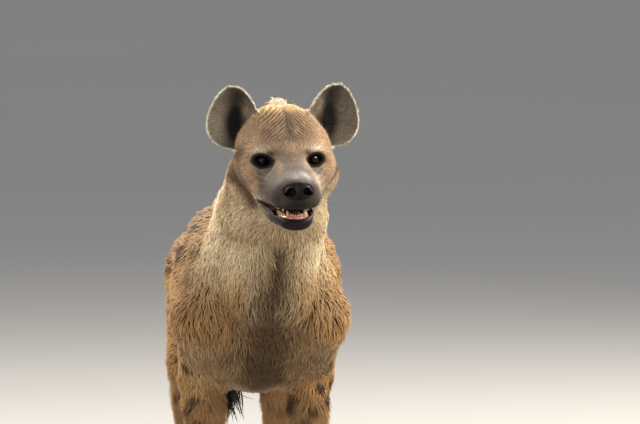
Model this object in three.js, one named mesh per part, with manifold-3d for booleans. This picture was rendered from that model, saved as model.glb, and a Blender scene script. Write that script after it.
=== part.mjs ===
// A life-size spotted hyena, standing with its head up and its mouth a little open, as a still museum model.
// Millimetres, +Z up, the floor at z = 0. The animal faces -Y and its left side is +X.
// The body is one smooth shape, made of rounded muscles and limbs that flow into each other, and parted with thin cuts
// into the pieces that a person would name. Its surface is the outline of the coat, out to the tips of the hairs.
import * as THREE from "three";
import { mergeVertices, mergeGeometries } from "three/addons/utils/BufferGeometryUtils.js";
import Module from "manifold-3d";

const wasm = await Module();
wasm.setup();

const { sin, cos, sqrt, abs, min, max, PI, pow, hypot } = Math;

const BODY_TRIANGLES = 5200;
const HEAD_TRIANGLES = 1500;
const PAWS = [];

// ---------------------------------------------------------------- shapes that the anatomy is made of
// Each group is a list of shapes joined smoothly; "blend" is the width in mm over which a shape flows into the rest.
const groups = {};
function shape(group, s) {
  (groups[group] ||= []).push(s);
}
// An egg: centre, half-sizes, blend, and a tilt about X in degrees.
function ball(group, name, c, r, blend, tilt) {
  shape(group, { kind: 0, name, c, r, blend, tilt: ((tilt || 0) * PI) / 180, sign: 1 });
}
// The same shape taken away.
function carve(group, name, c, r, blend, tilt) {
  shape(group, { kind: 0, name, c, r, blend, tilt: ((tilt || 0) * PI) / 180, sign: -1 });
}
// A tapering limb from a to b. flat squeezes it sideways.
function cone(group, name, a, b, ra, rb, blend, flat) {
  shape(group, { kind: 1, name, a, b, ra, rb, blend, flat: flat || 1, sign: 1 });
}
function furrow(group, name, a, b, ra, rb, blend) {
  shape(group, { kind: 1, name, a, b, ra, rb, blend, flat: 1, sign: -1 });
}

function footprint(s, x, y, size) {
  PAWS.push({ s, x, y, size, front: y < 0 });
}

// >>> anatomy
// ---- driving sizes, mm ----
// Height of the withers and of the eyes over the floor, and where they stand along the body.
const WITHERS_Z = 800;
const WITHERS_Y = -225;
const EYE_Z = 900;
const EYE_Y = -560;
const EYE_MID_X = 36;
// The neck bends to the left and the head is turned and tipped a little.
const HEAD_YAW = -4;
const HEAD_PITCH = 0;
const HEAD_ROLL = 1;
// The shift that puts the middle of the whole animal's footprint over the origin.
const SHIFT_X = 1.9;
const SHIFT_Y = -70.3;
const EYE_R = 13;
const EYE_X = 48;
const EYE_BACK = 11;
const EYE_H = -2.5;
const EAR_X = 97;
const EAR_Z = 76.5;
const EAR_HALF_W = 51;
const EAR_HALF_H = 62;
const EAR_LEAN = -0.06;
// Each ear is turned a little its own way: the left one outward, the right one inward, in radians.
const EAR_TURN = 0.1;
const EAR_SHIFT = 4;
const EAR_CUP = 34;
const EAR_FACE_Y = 62;
const EAR_SLANT = 0.14;
const TAIL_TIP_Z = 335;
// The mouth: its corners, how far the two lips fall over 100 mm forward, and how much the line curls up at the sides.
const MOUTH_CORNER_Y = 22;
const MOUTH_CORNER_Z = -84;
const MOUTH_TOP_SLOPE = -4.7;
const MOUTH_LOW_SLOPE = -19.5;
const MOUTH_SMILE = 3;

// ---- trunk ----
ball("trunk", "rib_cage_front", [0, -215, 600], [140, 180, 182], 40, 0);
ball("trunk", "rib_cage", [0, -50, 592], [152, 230, 172], 60, -4);
ball("trunk", "belly", [0, 150, 580], [145, 200, 148], 60, -6);
ball("trunk", "loin", [0, 300, 590], [118, 150, 130], 60, -10);
ball("trunk", "rump", [0, 400, 580], [98, 88, 108], 50, -20);
cone("trunk", "withers", [0, -290, 715], [0, -120, 725], 74, 66, 50, 0.8);
cone("trunk", "back", [0, -120, 700], [0, 330, 640], 78, 66, 60, 1);
ball("trunk", "breast", [0, -300, 590], [110, 90, 128], 50, 16);
ball("trunk", "brisket", [0, -238, 490], [66, 92, 48], 50, 6);
for (const s of [-1, 1]) {
  cone("trunk", "shoulder_blade", [s * 72, -205, 735], [s * 108, -325, 585], 50, 60, 40, 1);
  ball("trunk", "shoulder_muscle", [s * 98, -235, 640], [58, 88, 92], 40, 0);
  ball("trunk", "hip", [s * 60, 335, 622], [50, 80, 76], 40, 0);
}

// ---- neck, bending to the head ----
cone("trunk", "neck_root", [0, -262, 655], [17, -384, 782], 144, 100, 60, 0.92);
cone("trunk", "neck", [19, -388, 784], [38, -440, 884], 102, 87, 42, 1);
cone("trunk", "nape", [0, -205, 752], [38, -428, 914], 56, 62, 50, 0.95);
cone("trunk", "throat", [40, -458, 800], [14, -396, 640], 60, 84, 34, 1);
for (const s of [-1, 1]) {
  ball("trunk", "ruff", [38 + s * 64, -428, 862], [44, 56, 40], 30, 0);
}

// ---- legs: name, side, the shoulder, elbow, wrist and foot along Y ----
function foreleg(g, s, fy) {
  cone(g, "upper_arm", [s * 108, -325, 570], [s * 104, -218, 452], 62, 44, 30, 1);
  ball(g, "triceps", [s * 104, -222, 520], [42, 62, 86], 36, 10);
  cone(g, "forearm", [s * 102, -222 + fy * 0.1, 445], [s * 94, -250 + fy * 0.7, 205], 50, 29, 26, 1);
  ball(g, "forearm_muscle", [s * 102, -240 + fy * 0.2, 395], [34, 42, 72], 26, 0);
  ball(g, "wrist", [s * 93, -252 + fy * 0.7, 178], [27, 29, 36], 16, 0);
  cone(g, "pastern", [s * 93, -250 + fy * 0.75, 170], [s * 94, -262 + fy, 56], 26, 27, 18, 1);
  paw(g, s, s * 95, -272 + fy, 1);
}
function hindleg(g, s, fy) {
  cone(g, "thigh", [s * 72, 335, 600], [s * 92, 262 + fy * 0.3, 440], 84, 56, 40, 0.8);
  ball(g, "haunch", [s * 74, 388, 540], [44, 76, 96], 40, 12);
  ball(g, "thigh_mass", [s * 86, 322 + fy * 0.3, 476], [40, 86, 100], 40, 16);
  cone(g, "hamstring", [s * 78, 412, 500], [s * 90, 366 + fy * 0.5, 360], 50, 32, 36, 0.8);
  cone(g, "shank", [s * 94, 268 + fy * 0.3, 430], [s * 89, 408 + fy * 0.8, 238], 50, 25, 30, 1);
  ball(g, "calf", [s * 92, 340 + fy * 0.5, 378], [31, 44, 66], 30, 34);
  cone(g, "hock", [s * 89, 422 + fy * 0.8, 250], [s * 89, 416 + fy * 0.85, 205], 22, 25, 18, 1);
  cone(g, "hind_pastern", [s * 89, 412 + fy * 0.85, 210], [s * 90, 388 + fy, 52], 24, 23, 16, 1);
  paw(g, s, s * 91, 374 + fy, 0.92);
}
// A paw: the pad behind and four toes in front, all on the floor.
function paw(g, s, x, y, size) {
  footprint(s, x, y, size);
  ball(g, "paw_pad", [x, y, 26 * size], [35 * size, 40 * size, 30 * size], 16, 0);
  ball(g, "paw_top", [x, y - 16 * size, 36 * size], [30 * size, 34 * size, 25 * size], 14, 0);
  for (const i of [-1.5, -0.5, 0.5, 1.5]) {
    ball(g, "toe", [x + i * 18.5 * size, y - (51 - abs(i) * 12) * size, 16 * size], [12.5 * size, 22 * size, 18.5 * size], 6, 0);
  }
}
foreleg("leg_front_left", 1, -22);
foreleg("leg_front_right", -1, 14);
hindleg("leg_hind_left", 1, 26);
hindleg("leg_hind_right", -1, -30);

// ---- tail, hanging behind the thighs ----
cone("tail", "tail_root", [0, 456, 636], [0, 500, 570], 30, 22, 20, 1);
cone("tail", "tail_bone", [0, 500, 570], [0, 514, 480], 22, 29, 20, 1);
cone("tail", "tail_brush", [0, 514, 480], [0, 508, 382], 30, 25, 24, 1);
cone("tail", "tail_tip", [0, 508, 390], [0, 502, TAIL_TIP_Z + 12], 24, 10, 20, 1);

// ---- head: its own frame, with the middle between the eyes at the origin ----
ball("head", "brain_case", [0, 84, 27], [88, 88, 62], 20, 0);
ball("head", "crest", [0, 98, 66], [60, 72, 36], 26, 0);
ball("head", "forehead", [0, 42, 32], [62, 52, 36], 26, 0);
ball("head", "brow", [0, 34, 6], [66, 46, 36], 24, 0);
ball("head", "occiput", [0, 134, 10], [72, 52, 62], 36, 0);
for (const s of [-1, 1]) {
  ball("head", "cheek", [s * 50, 62, -8], [46, 64, 46], 26, 0);
  ball("head", "chewing_muscle", [s * 36, 44, -42], [33, 50, 36], 26, 0);
  ball("head", "ear_root", [s * 66, 142, 52], [26, 26, 34], 30, 0);
  ball("head", "cheekbone", [s * 55, 24, -22], [30, 40, 24], 34, 0);
  cone("head", "lip", [s * 25, 16, -52], [s * 18, -84, -62], 36, 28, 26, 1);
}
cone("head", "nose_bridge", [0, 10, -6], [0, -90, -43], 38, 23, 26, 1);
cone("head", "upper_jaw", [0, 20, -50], [0, -86, -60], 46, 34, 28, 1);
ball("head", "nose_end", [0, -104, -52], [27, 22, 18], 10, 0);
ball("head", "throat_latch", [0, 112, -30], [72, 56, 50], 30, 0);
for (const s of [-1, 1]) {
  carve("head", "eye_hollow", [s * 59, -18, -5], [23, 19, 16], 16, 0);
  ball("head", "eyelids", [s * EYE_X, EYE_BACK, EYE_H], [16, 16, 16], 6, 0);
}
// The lower jaw, open a little.
for (const s of [-1, 1]) {
  cone("jaw", "jaw_bone", [s * 25, 42, -86], [s * 18, -70, -108], 27, 15, 14, 1);
}
ball("jaw", "chin", [0, -84, -116], [29, 20, 15], 12, 0);
ball("jaw", "jaw_floor", [0, -10, -104], [34, 72, 22], 14, 0);
// The nose pad is what this egg holds of the muzzle's end, less the two nostrils.
ball("nose", "nose_pad", [0, -115, -53], [28, 23, 16.5], 6, 0);
for (const s of [-1, 1]) {
  ball("nostril", "nostril", [s * 14, -124, -54], [7, 9, 6.5], 3, 0);
}
// The room inside the mouth.
ball("mouth", "mouth_room", [0, -46, -95], [36, 49, 20], 8, 0);
// <<< anatomy

// ---------------------------------------------------------------- how far a point is from the animal's outline
function ballGap(s, x, y, z) {
  let dx = x - s.c[0];
  let dy = y - s.c[1];
  let dz = z - s.c[2];
  if (s.tilt) {
    const c = cos(s.tilt);
    const t = sin(s.tilt);
    const ny = c * dy + t * dz;
    dz = c * dz - t * dy;
    dy = ny;
  }
  const ax = dx / s.r[0];
  const ay = dy / s.r[1];
  const az = dz / s.r[2];
  const k0 = sqrt(ax * ax + ay * ay + az * az);
  if (k0 < 1e-6) return -min(s.r[0], s.r[1], s.r[2]);
  const bx = ax / s.r[0];
  const by = ay / s.r[1];
  const bz = az / s.r[2];
  return (k0 * (k0 - 1)) / sqrt(bx * bx + by * by + bz * bz);
}
function coneGap(s, x, y, z) {
  const ex = s.b[0] - s.a[0];
  const ey = s.b[1] - s.a[1];
  const ez = s.b[2] - s.a[2];
  const dx = x - s.a[0];
  const dy = y - s.a[1];
  const dz = z - s.a[2];
  const h = min(1, max(0, (dx * ex + dy * ey + dz * ez) / (ex * ex + ey * ey + ez * ez)));
  const qx = (dx - h * ex) / s.flat;
  const qy = dy - h * ey;
  const qz = dz - h * ez;
  return sqrt(qx * qx + qy * qy + qz * qz) - (s.ra + (s.rb - s.ra) * h);
}
function smoothMin(a, b, k) {
  const h = max(k - abs(a - b), 0) / k;
  return min(a, b) - (h * h * k) / 4;
}
function groupGap(list, x, y, z) {
  let d = 1e6;
  for (const s of list) {
    const e = s.kind ? coneGap(s, x, y, z) : ballGap(s, x, y, z);
    d = s.sign > 0 ? (d > 9e5 ? e : smoothMin(d, e, s.blend)) : -smoothMin(-d, e, s.blend);
  }
  return d;
}
// The head's frame: x across, y back from the eyes, z up.
const yaw = (HEAD_YAW * PI) / 180;
const pitch = (HEAD_PITCH * PI) / 180;
const roll = (HEAD_ROLL * PI) / 180;
const headTurn = new THREE.Matrix4()
  .makeTranslation(EYE_MID_X, EYE_Y, EYE_Z)
  .multiply(new THREE.Matrix4().makeRotationZ(-yaw))
  .multiply(new THREE.Matrix4().makeRotationX(pitch))
  .multiply(new THREE.Matrix4().makeRotationY(-roll));
const headBack = headTurn.clone().invert().elements;
const fromHead = (x, y, z) => new THREE.Vector3(x, y, z).applyMatrix4(headTurn).toArray();
function toHead(x, y, z) {
  const m = headBack;
  return [
    m[0] * x + m[4] * y + m[8] * z + m[12],
    m[1] * x + m[5] * y + m[9] * z + m[13],
    m[2] * x + m[6] * y + m[10] * z + m[14],
  ];
}
// The open mouth: a wedge between the upper lip and the lower lip, from the corners of the mouth to the front.
function mouthGap(x, y, z) {
  const back = y - MOUTH_CORNER_Y;
  const up = z - (MOUTH_CORNER_Z + (MOUTH_TOP_SLOPE * -back) / 100);
  const down = MOUTH_CORNER_Z + (MOUTH_LOW_SLOPE * -back) / 100 - z;
  const curve = (MOUTH_SMILE * x * x) / 2500;
  return max((up - curve) * 0.98, (down + curve) * 0.98, back);
}
function headGap(x, y, z) {
  const [hx, hy, hz] = toHead(x, y, z);
  let d = smoothMin(groupGap(groups.head, hx, hy, hz), groupGap(groups.jaw, hx, hy, hz), 22);
  d = -smoothMin(-d, mouthGap(hx, hy, hz), 5);
  return -smoothMin(-d, groupGap(groups.mouth, hx, hy, hz), 4);
}
const LEGS = ["leg_front_left", "leg_front_right", "leg_hind_left", "leg_hind_right"];
// The outline as if it ran on below the floor, and as it is, resting on the floor.
function wholeGap(x, y, z) {
  let d = 1e6;
  if (z > 300 || y > 430) d = groupGap(groups.trunk, x, y, z);
  if (z < 720) {
    const near = (y < 30 ? 0 : 2) + (x > 0 ? 0 : 1);
    d = smoothMin(d, groupGap(groups[LEGS[near]], x, y, z), 34);
  }
  if (y > 380) d = smoothMin(d, groupGap(groups.tail, x, y, z), 22);
  if (y < -330 && z > 640) d = smoothMin(d, headGap(x, y, z), 24);
  return d;
}
const gap = (x, y, z) => max(wholeGap(x, y, z), -z);

// ---------------------------------------------------------------- a surface drawn round the outline
// Marching through small tetrahedra gives a closed skin; it is then thinned to the wanted number of triangles.
function surfaceOf(f, lo, hi, step) {
  const n = [0, 1, 2].map((i) => Math.ceil((hi[i] - lo[i]) / step) + 1);
  const [nx, ny, nz] = n;
  const val = new Float64Array(nx * ny * nz);
  for (let k = 0; k < nz; k++) {
    for (let j = 0; j < ny; j++) {
      for (let i = 0; i < nx; i++) {
        const edge = i === 0 || j === 0 || k === 0 || i === nx - 1 || j === ny - 1 || k === nz - 1;
        let v = edge ? step : f(lo[0] + i * step, lo[1] + j * step, lo[2] + k * step);
        if (abs(v) < 1e-4 * step) v = 1e-4 * step;
        val[i + nx * (j + ny * k)] = v;
      }
    }
  }
  const offs = [];
  for (let c = 0; c < 8; c++) offs.push((c & 1) + nx * (((c >> 1) & 1) + ny * ((c >> 2) & 1)));
  const seen = new Int32Array(nx * ny * nz * 8).fill(-1);
  const pos = [];
  const tri = [];
  const tets = [
    [0, 1, 3, 7], [0, 3, 2, 7], [0, 2, 6, 7], [0, 6, 4, 7], [0, 4, 5, 7], [0, 5, 1, 7],
  ];
  const point = (base, a, b) => {
    const lowC = a < b ? a : b;
    const highC = a < b ? b : a;
    const key = (base + offs[lowC]) * 8 + (highC ^ lowC);
    if (seen[key] >= 0) return seen[key];
    const va = val[base + offs[lowC]];
    const vb = val[base + offs[highC]];
    const t = min(0.98, max(0.02, va / (va - vb)));
    const g = base + offs[lowC];
    const gi = g % nx;
    const gj = ((g - gi) / nx) % ny;
    const gk = (g - gi - nx * gj) / (nx * ny);
    const d = highC ^ lowC;
    pos.push(
      lo[0] + (gi + t * (d & 1)) * step,
      lo[1] + (gj + t * ((d >> 1) & 1)) * step,
      lo[2] + (gk + t * ((d >> 2) & 1)) * step,
    );
    seen[key] = pos.length / 3 - 1;
    return seen[key];
  };
  for (let k = 0; k < nz - 1; k++) {
    for (let j = 0; j < ny - 1; j++) {
      for (let i = 0; i < nx - 1; i++) {
        const base = i + nx * (j + ny * k);
        let inside = 0;
        for (let c = 0; c < 8; c++) if (val[base + offs[c]] < 0) inside++;
        if (inside === 0 || inside === 8) continue;
        for (const t of tets) {
          const s = t.map((c) => val[base + offs[c]] < 0);
          const count = s[0] + s[1] + s[2] + s[3];
          if (count === 0 || count === 4) continue;
          const ins = [0, 1, 2, 3].filter((q) => s[q]);
          const outs = [0, 1, 2, 3].filter((q) => !s[q]);
          const perm = [...ins, ...outs];
          let odd = false;
          for (let a = 0; a < 4; a++) for (let b = a + 1; b < 4; b++) if (perm[a] > perm[b]) odd = !odd;
          const P = (a, b) => point(base, t[a], t[b]);
          const put = (a, b, c) => (odd ? tri.push(a, c, b) : tri.push(a, b, c));
          if (count === 1) put(P(ins[0], outs[0]), P(ins[0], outs[1]), P(ins[0], outs[2]));
          else if (count === 3) put(P(ins[0], outs[0]), P(ins[1], outs[0]), P(ins[2], outs[0]));
          else {
            const a = P(ins[0], outs[0]);
            const b = P(ins[0], outs[1]);
            const c = P(ins[1], outs[1]);
            const d = P(ins[1], outs[0]);
            put(a, b, c);
            put(a, c, d);
          }
        }
      }
    }
  }
  let vol = 0;
  for (let t = 0; t < tri.length; t += 3) {
    const [a, b, c] = [tri[t] * 3, tri[t + 1] * 3, tri[t + 2] * 3];
    vol += pos[a] * (pos[b + 1] * pos[c + 2] - pos[b + 2] * pos[c + 1]);
    vol += pos[a + 1] * (pos[b + 2] * pos[c] - pos[b] * pos[c + 2]);
    vol += pos[a + 2] * (pos[b] * pos[c + 1] - pos[b + 1] * pos[c]);
  }
  if (vol < 0) for (let t = 0; t < tri.length; t += 3) [tri[t + 1], tri[t + 2]] = [tri[t + 2], tri[t + 1]];
  return { pos, tri };
}

// Edges are folded away one by one, the least noticed first, until "target" triangles are left.
function thin({ pos, tri }, target, weight, flat) {
  const nv = pos.length / 3;
  const nf = tri.length / 3;
  const P = Float64Array.from(pos);
  const F = Int32Array.from(tri);
  const Q = new Float64Array(nv * 10);
  const faces = Array.from({ length: nv }, () => []);
  const alive = new Uint8Array(nf).fill(1);
  const live = new Uint8Array(nv).fill(1);
  const stamp = new Int32Array(nv);
  const normal = (a, b, c) => {
    const ux = P[b * 3] - P[a * 3], uy = P[b * 3 + 1] - P[a * 3 + 1], uz = P[b * 3 + 2] - P[a * 3 + 2];
    const vx = P[c * 3] - P[a * 3], vy = P[c * 3 + 1] - P[a * 3 + 1], vz = P[c * 3 + 2] - P[a * 3 + 2];
    return [uy * vz - uz * vy, uz * vx - ux * vz, ux * vy - uy * vx];
  };
  for (let f = 0; f < nf; f++) {
    const [a, b, c] = [F[f * 3], F[f * 3 + 1], F[f * 3 + 2]];
    const n = normal(a, b, c);
    const len = hypot(...n) || 1e-12;
    const [x, y, z] = n.map((v) => v / len);
    const w = -(x * P[a * 3] + y * P[a * 3 + 1] + z * P[a * 3 + 2]);
    let g = len * 0.5 * (weight ? weight(P[a * 3], P[a * 3 + 1], P[a * 3 + 2]) : 1);
    if (flat && flat(...[a, b, c].map((v) => [P[v * 3], P[v * 3 + 1], P[v * 3 + 2]]))) g *= 40;
    const q = [x * x, x * y, x * z, x * w, y * y, y * z, y * w, z * z, z * w, w * w];
    for (const v of [a, b, c]) {
      for (let i = 0; i < 10; i++) Q[v * 10 + i] += q[i] * g;
      faces[v].push(f);
    }
  }
  const cost = (q, x, y, z) =>
    q[0] * x * x + 2 * q[1] * x * y + 2 * q[2] * x * z + 2 * q[3] * x + q[4] * y * y +
    2 * q[5] * y * z + 2 * q[6] * y + q[7] * z * z + 2 * q[8] * z + q[9];
  const q = new Float64Array(10);
  const best = (a, b) => {
    for (let i = 0; i < 10; i++) q[i] = Q[a * 10 + i] + Q[b * 10 + i];
    const ax = P[a * 3], ay = P[a * 3 + 1], az = P[a * 3 + 2];
    const bx = P[b * 3], by = P[b * 3 + 1], bz = P[b * 3 + 2];
    const ex = bx - ax, ey = by - ay, ez = bz - az;
    const mx = (ax + bx) / 2, my = (ay + by) / 2, mz = (az + bz) / 2;
    const long2 = ex * ex + ey * ey + ez * ez;
    const det = q[0] * (q[4] * q[7] - q[5] * q[5]) - q[1] * (q[1] * q[7] - q[5] * q[2]) + q[2] * (q[1] * q[5] - q[4] * q[2]);
    let r = null;
    const scale = q[0] + q[4] + q[7];
    if (abs(det) > 1e-4 * scale * scale * scale) {
      const x = -(q[3] * (q[4] * q[7] - q[5] * q[5]) - q[1] * (q[6] * q[7] - q[5] * q[8]) + q[2] * (q[6] * q[5] - q[4] * q[8])) / det;
      const y = -(q[0] * (q[6] * q[7] - q[8] * q[5]) - q[3] * (q[1] * q[7] - q[5] * q[2]) + q[2] * (q[1] * q[8] - q[6] * q[2])) / det;
      const z = -(q[0] * (q[4] * q[8] - q[5] * q[6]) - q[1] * (q[1] * q[8] - q[2] * q[6]) + q[3] * (q[1] * q[5] - q[4] * q[2])) / det;
      if ((x - mx) ** 2 + (y - my) ** 2 + (z - mz) ** 2 < long2) r = [cost(q, x, y, z), x, y, z];
    }
    if (!r) {
      const c = [[ax, ay, az], [bx, by, bz], [mx, my, mz]].map((p) => [cost(q, ...p), ...p]);
      r = c.sort((u, v) => u[0] - v[0])[0];
    }
    r[0] = max(r[0], 0) + long2 * 1e-4;
    return r;
  };
  // a heap of [cost, a, b, stamp a, stamp b, x, y, z]
  const heap = [];
  const up = (i) => {
    const e = heap[i];
    while (i > 0) {
      const p = (i - 1) >> 1;
      if (heap[p][0] <= e[0]) break;
      heap[i] = heap[p];
      i = p;
    }
    heap[i] = e;
  };
  const down = (i) => {
    const e = heap[i];
    const n = heap.length;
    for (;;) {
      let c = 2 * i + 1;
      if (c >= n) break;
      if (c + 1 < n && heap[c + 1][0] < heap[c][0]) c++;
      if (heap[c][0] >= e[0]) break;
      heap[i] = heap[c];
      i = c;
    }
    heap[i] = e;
  };
  const push = (a, b) => {
    const r = best(a, b);
    heap.push([r[0], a, b, stamp[a], stamp[b], r[1], r[2], r[3]]);
    up(heap.length - 1);
  };
  for (let f = 0; f < nf; f++) {
    for (let i = 0; i < 3; i++) {
      const a = F[f * 3 + i];
      const b = F[f * 3 + ((i + 1) % 3)];
      if (a < b) push(a, b);
    }
  }
  let left = nf;
  const ring = (v, out) => {
    out.clear();
    for (const f of faces[v]) for (let i = 0; i < 3; i++) if (F[f * 3 + i] !== v) out.add(F[f * 3 + i]);
    return out;
  };
  const ra = new Set();
  const rb = new Set();
  while (left > target && heap.length) {
    const e = heap[0];
    const last = heap.pop();
    if (heap.length) {
      heap[0] = last;
      down(0);
    }
    const [, a, b, sa, sb, x, y, z] = e;
    if (!live[a] || !live[b] || stamp[a] !== sa || stamp[b] !== sb) continue;
    ring(a, ra);
    ring(b, rb);
    let common = 0;
    for (const v of ra) if (rb.has(v)) common++;
    if (common !== 2 || ra.size + rb.size - 4 < 3) continue;
    let bad = false;
    for (const v of [a, b]) {
      const other = v === a ? b : a;
      for (const f of faces[v]) {
        const t = [F[f * 3], F[f * 3 + 1], F[f * 3 + 2]];
        if (t.includes(other)) continue;
        const n0 = normal(...t);
        const save = [P[v * 3], P[v * 3 + 1], P[v * 3 + 2]];
        P[v * 3] = x; P[v * 3 + 1] = y; P[v * 3 + 2] = z;
        const n1 = normal(...t);
        P[v * 3] = save[0]; P[v * 3 + 1] = save[1]; P[v * 3 + 2] = save[2];
        const l0 = hypot(...n0), l1 = hypot(...n1);
        const dot = n0[0] * n1[0] + n0[1] * n1[1] + n0[2] * n1[2];
        if (dot < 0.35 * l0 * l1 || l1 < 1e-3) { bad = true; break; }
      }
      if (bad) break;
    }
    if (bad) continue;
    P[a * 3] = x; P[a * 3 + 1] = y; P[a * 3 + 2] = z;
    for (let i = 0; i < 10; i++) Q[a * 10 + i] += Q[b * 10 + i];
    for (const f of faces[b]) {
      const t = [F[f * 3], F[f * 3 + 1], F[f * 3 + 2]];
      if (t.includes(a)) {
        alive[f] = 0;
        left--;
        for (const v of t) if (v !== b) faces[v] = faces[v].filter((g) => g !== f);
      } else {
        for (let i = 0; i < 3; i++) if (F[f * 3 + i] === b) F[f * 3 + i] = a;
        faces[a].push(f);
      }
    }
    live[b] = 0;
    stamp[a]++;
    ring(a, ra);
    for (const v of ra) push(min(a, v), max(a, v));
  }
  const map = new Int32Array(nv).fill(-1);
  const np = [];
  const nt = [];
  for (let f = 0; f < nf; f++) {
    if (!alive[f]) continue;
    for (let i = 0; i < 3; i++) {
      const v = F[f * 3 + i];
      if (map[v] < 0) {
        map[v] = np.length / 3;
        np.push(P[v * 3], P[v * 3 + 1], P[v * 3 + 2]);
      }
      nt.push(map[v]);
    }
  }
  return { pos: np, tri: nt };
}
// Each corner is put back on the outline.
function settle(mesh, f, reach) {
  const p = mesh.pos;
  for (let i = 0; i < p.length; i += 3) {
    const start = [p[i], p[i + 1], p[i + 2]];
    for (let n = 0; n < 3; n++) {
      const [x, y, z] = [p[i], p[i + 1], p[i + 2]];
      const d = f(x, y, z);
      if (abs(d) > reach) break;
      const h = 0.5;
      const g = [f(x + h, y, z) - f(x - h, y, z), f(x, y + h, z) - f(x, y - h, z), f(x, y, z + h) - f(x, y, z - h)];
      const g2 = (g[0] ** 2 + g[1] ** 2 + g[2] ** 2) / (4 * h * h);
      if (g2 < 0.04) break;
      for (let a = 0; a < 3; a++) p[i + a] -= (d * g[a]) / (2 * h) / g2;
    }
    if (hypot(p[i] - start[0], p[i + 1] - start[1], p[i + 2] - start[2]) > reach) {
      [p[i], p[i + 1], p[i + 2]] = start;
    }
  }
  return mesh;
}

// ---------------------------------------------------------------- solids
const CUT = 0.5; // the width of the thin cuts, mm
const nodes = new THREE.Group();
nodes.name = "spotted_hyena";

function solid({ pos, tri }) {
  return new wasm.Manifold(
    new wasm.Mesh({ numProp: 3, vertProperties: Float32Array.from(pos), triVerts: Uint32Array.from(tri) }),
  );
}
function fromGeometry(g) {
  const bare = new THREE.BufferGeometry();
  bare.setAttribute("position", g.getAttribute("position"));
  if (g.index) bare.setIndex(g.index);
  const m = mergeVertices(bare, 1e-4);
  return { pos: Array.from(m.getAttribute("position").array), tri: Array.from(m.index.array) };
}
// All that lies more than "inset" to the side of a plane that its normal points to.
function side(point, normal, inset) {
  const n = new THREE.Vector3(...normal).normalize();
  const g = new THREE.BoxGeometry(4000, 4000, 4000);
  g.translate(0, 0, 2000 + inset);
  g.applyQuaternion(new THREE.Quaternion().setFromUnitVectors(new THREE.Vector3(0, 0, 1), n));
  g.translate(...point);
  return solid(fromGeometry(g));
}
// The space common to several sides; the grown one reaches over each plane by "grow".
function region(planes, grow) {
  let r = null;
  for (const [p, n] of planes) {
    const l = hypot(...n);
    if (grow && abs(grow) < 1) CUTS.push([p, n.map((v) => v / l)]);
  }
  for (const [p, n] of planes) {
    const s = side(p, n, -grow);
    r = r ? r.intersect(s) : s;
  }
  return r;
}
function meshOf(m) {
  const g = m.getMesh();
  const k = g.numProp;
  const pos = [];
  for (let i = 0; i < g.vertProperties.length / k; i++) {
    pos.push(g.vertProperties[i * k], g.vertProperties[i * k + 1], g.vertProperties[i * k + 2]);
  }
  const geo = new THREE.BufferGeometry();
  geo.setAttribute("position", new THREE.Float32BufferAttribute(pos, 3));
  geo.setIndex(Array.from(g.triVerts));
  const m2 = mergeVertices(geo, 1e-3);
  return { pos: Array.from(m2.getAttribute("position").array), tri: Array.from(m2.index.array) };
}
// The largest closed piece of a mesh.
function largest({ pos, tri }) {
  const n = pos.length / 3;
  const root = Int32Array.from({ length: n }, (_, i) => i);
  const find = (i) => {
    while (root[i] !== i) {
      root[i] = root[root[i]];
      i = root[i];
    }
    return i;
  };
  for (let t = 0; t < tri.length; t += 3) {
    root[find(tri[t])] = find(tri[t + 1]);
    root[find(tri[t + 1])] = find(tri[t + 2]);
  }
  const vol = new Map();
  for (let t = 0; t < tri.length; t += 3) {
    const [a, b, c] = [tri[t] * 3, tri[t + 1] * 3, tri[t + 2] * 3];
    const v =
      pos[a] * (pos[b + 1] * pos[c + 2] - pos[b + 2] * pos[c + 1]) +
      pos[a + 1] * (pos[b + 2] * pos[c] - pos[b] * pos[c + 2]) +
      pos[a + 2] * (pos[b] * pos[c + 1] - pos[b + 1] * pos[c]);
    const r = find(tri[t]);
    vol.set(r, (vol.get(r) || 0) + v / 6);
  }
  const keep = [...vol.entries()].sort((p, q) => q[1] - p[1])[0][0];
  const map = new Int32Array(n).fill(-1);
  const np = [];
  const nt = [];
  for (let t = 0; t < tri.length; t += 3) {
    if (find(tri[t]) !== keep) continue;
    const ids = [tri[t], tri[t + 1], tri[t + 2]].map((v) => {
      if (map[v] < 0) {
        map[v] = np.length / 3;
        np.push(pos[v * 3], pos[v * 3 + 1], pos[v * 3 + 2]);
      }
      return map[v];
    });
    if (ids[0] !== ids[1] && ids[1] !== ids[2] && ids[0] !== ids[2]) nt.push(...ids);
  }
  return { pos: np, tri: nt };
}
function facingOut(mesh) {
  const { pos, tri } = mesh;
  let vol = 0;
  for (let t = 0; t < tri.length; t += 3) {
    const [a, b, c] = [tri[t] * 3, tri[t + 1] * 3, tri[t + 2] * 3];
    vol += pos[a] * (pos[b + 1] * pos[c + 2] - pos[b + 2] * pos[c + 1]);
    vol += pos[a + 1] * (pos[b + 2] * pos[c] - pos[b] * pos[c + 2]);
    vol += pos[a + 2] * (pos[b] * pos[c + 1] - pos[b + 1] * pos[c]);
  }
  if (vol < 0) for (let t = 0; t < tri.length; t += 3) [tri[t + 1], tri[t + 2]] = [tri[t + 2], tri[t + 1]];
  return mesh;
}
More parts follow.
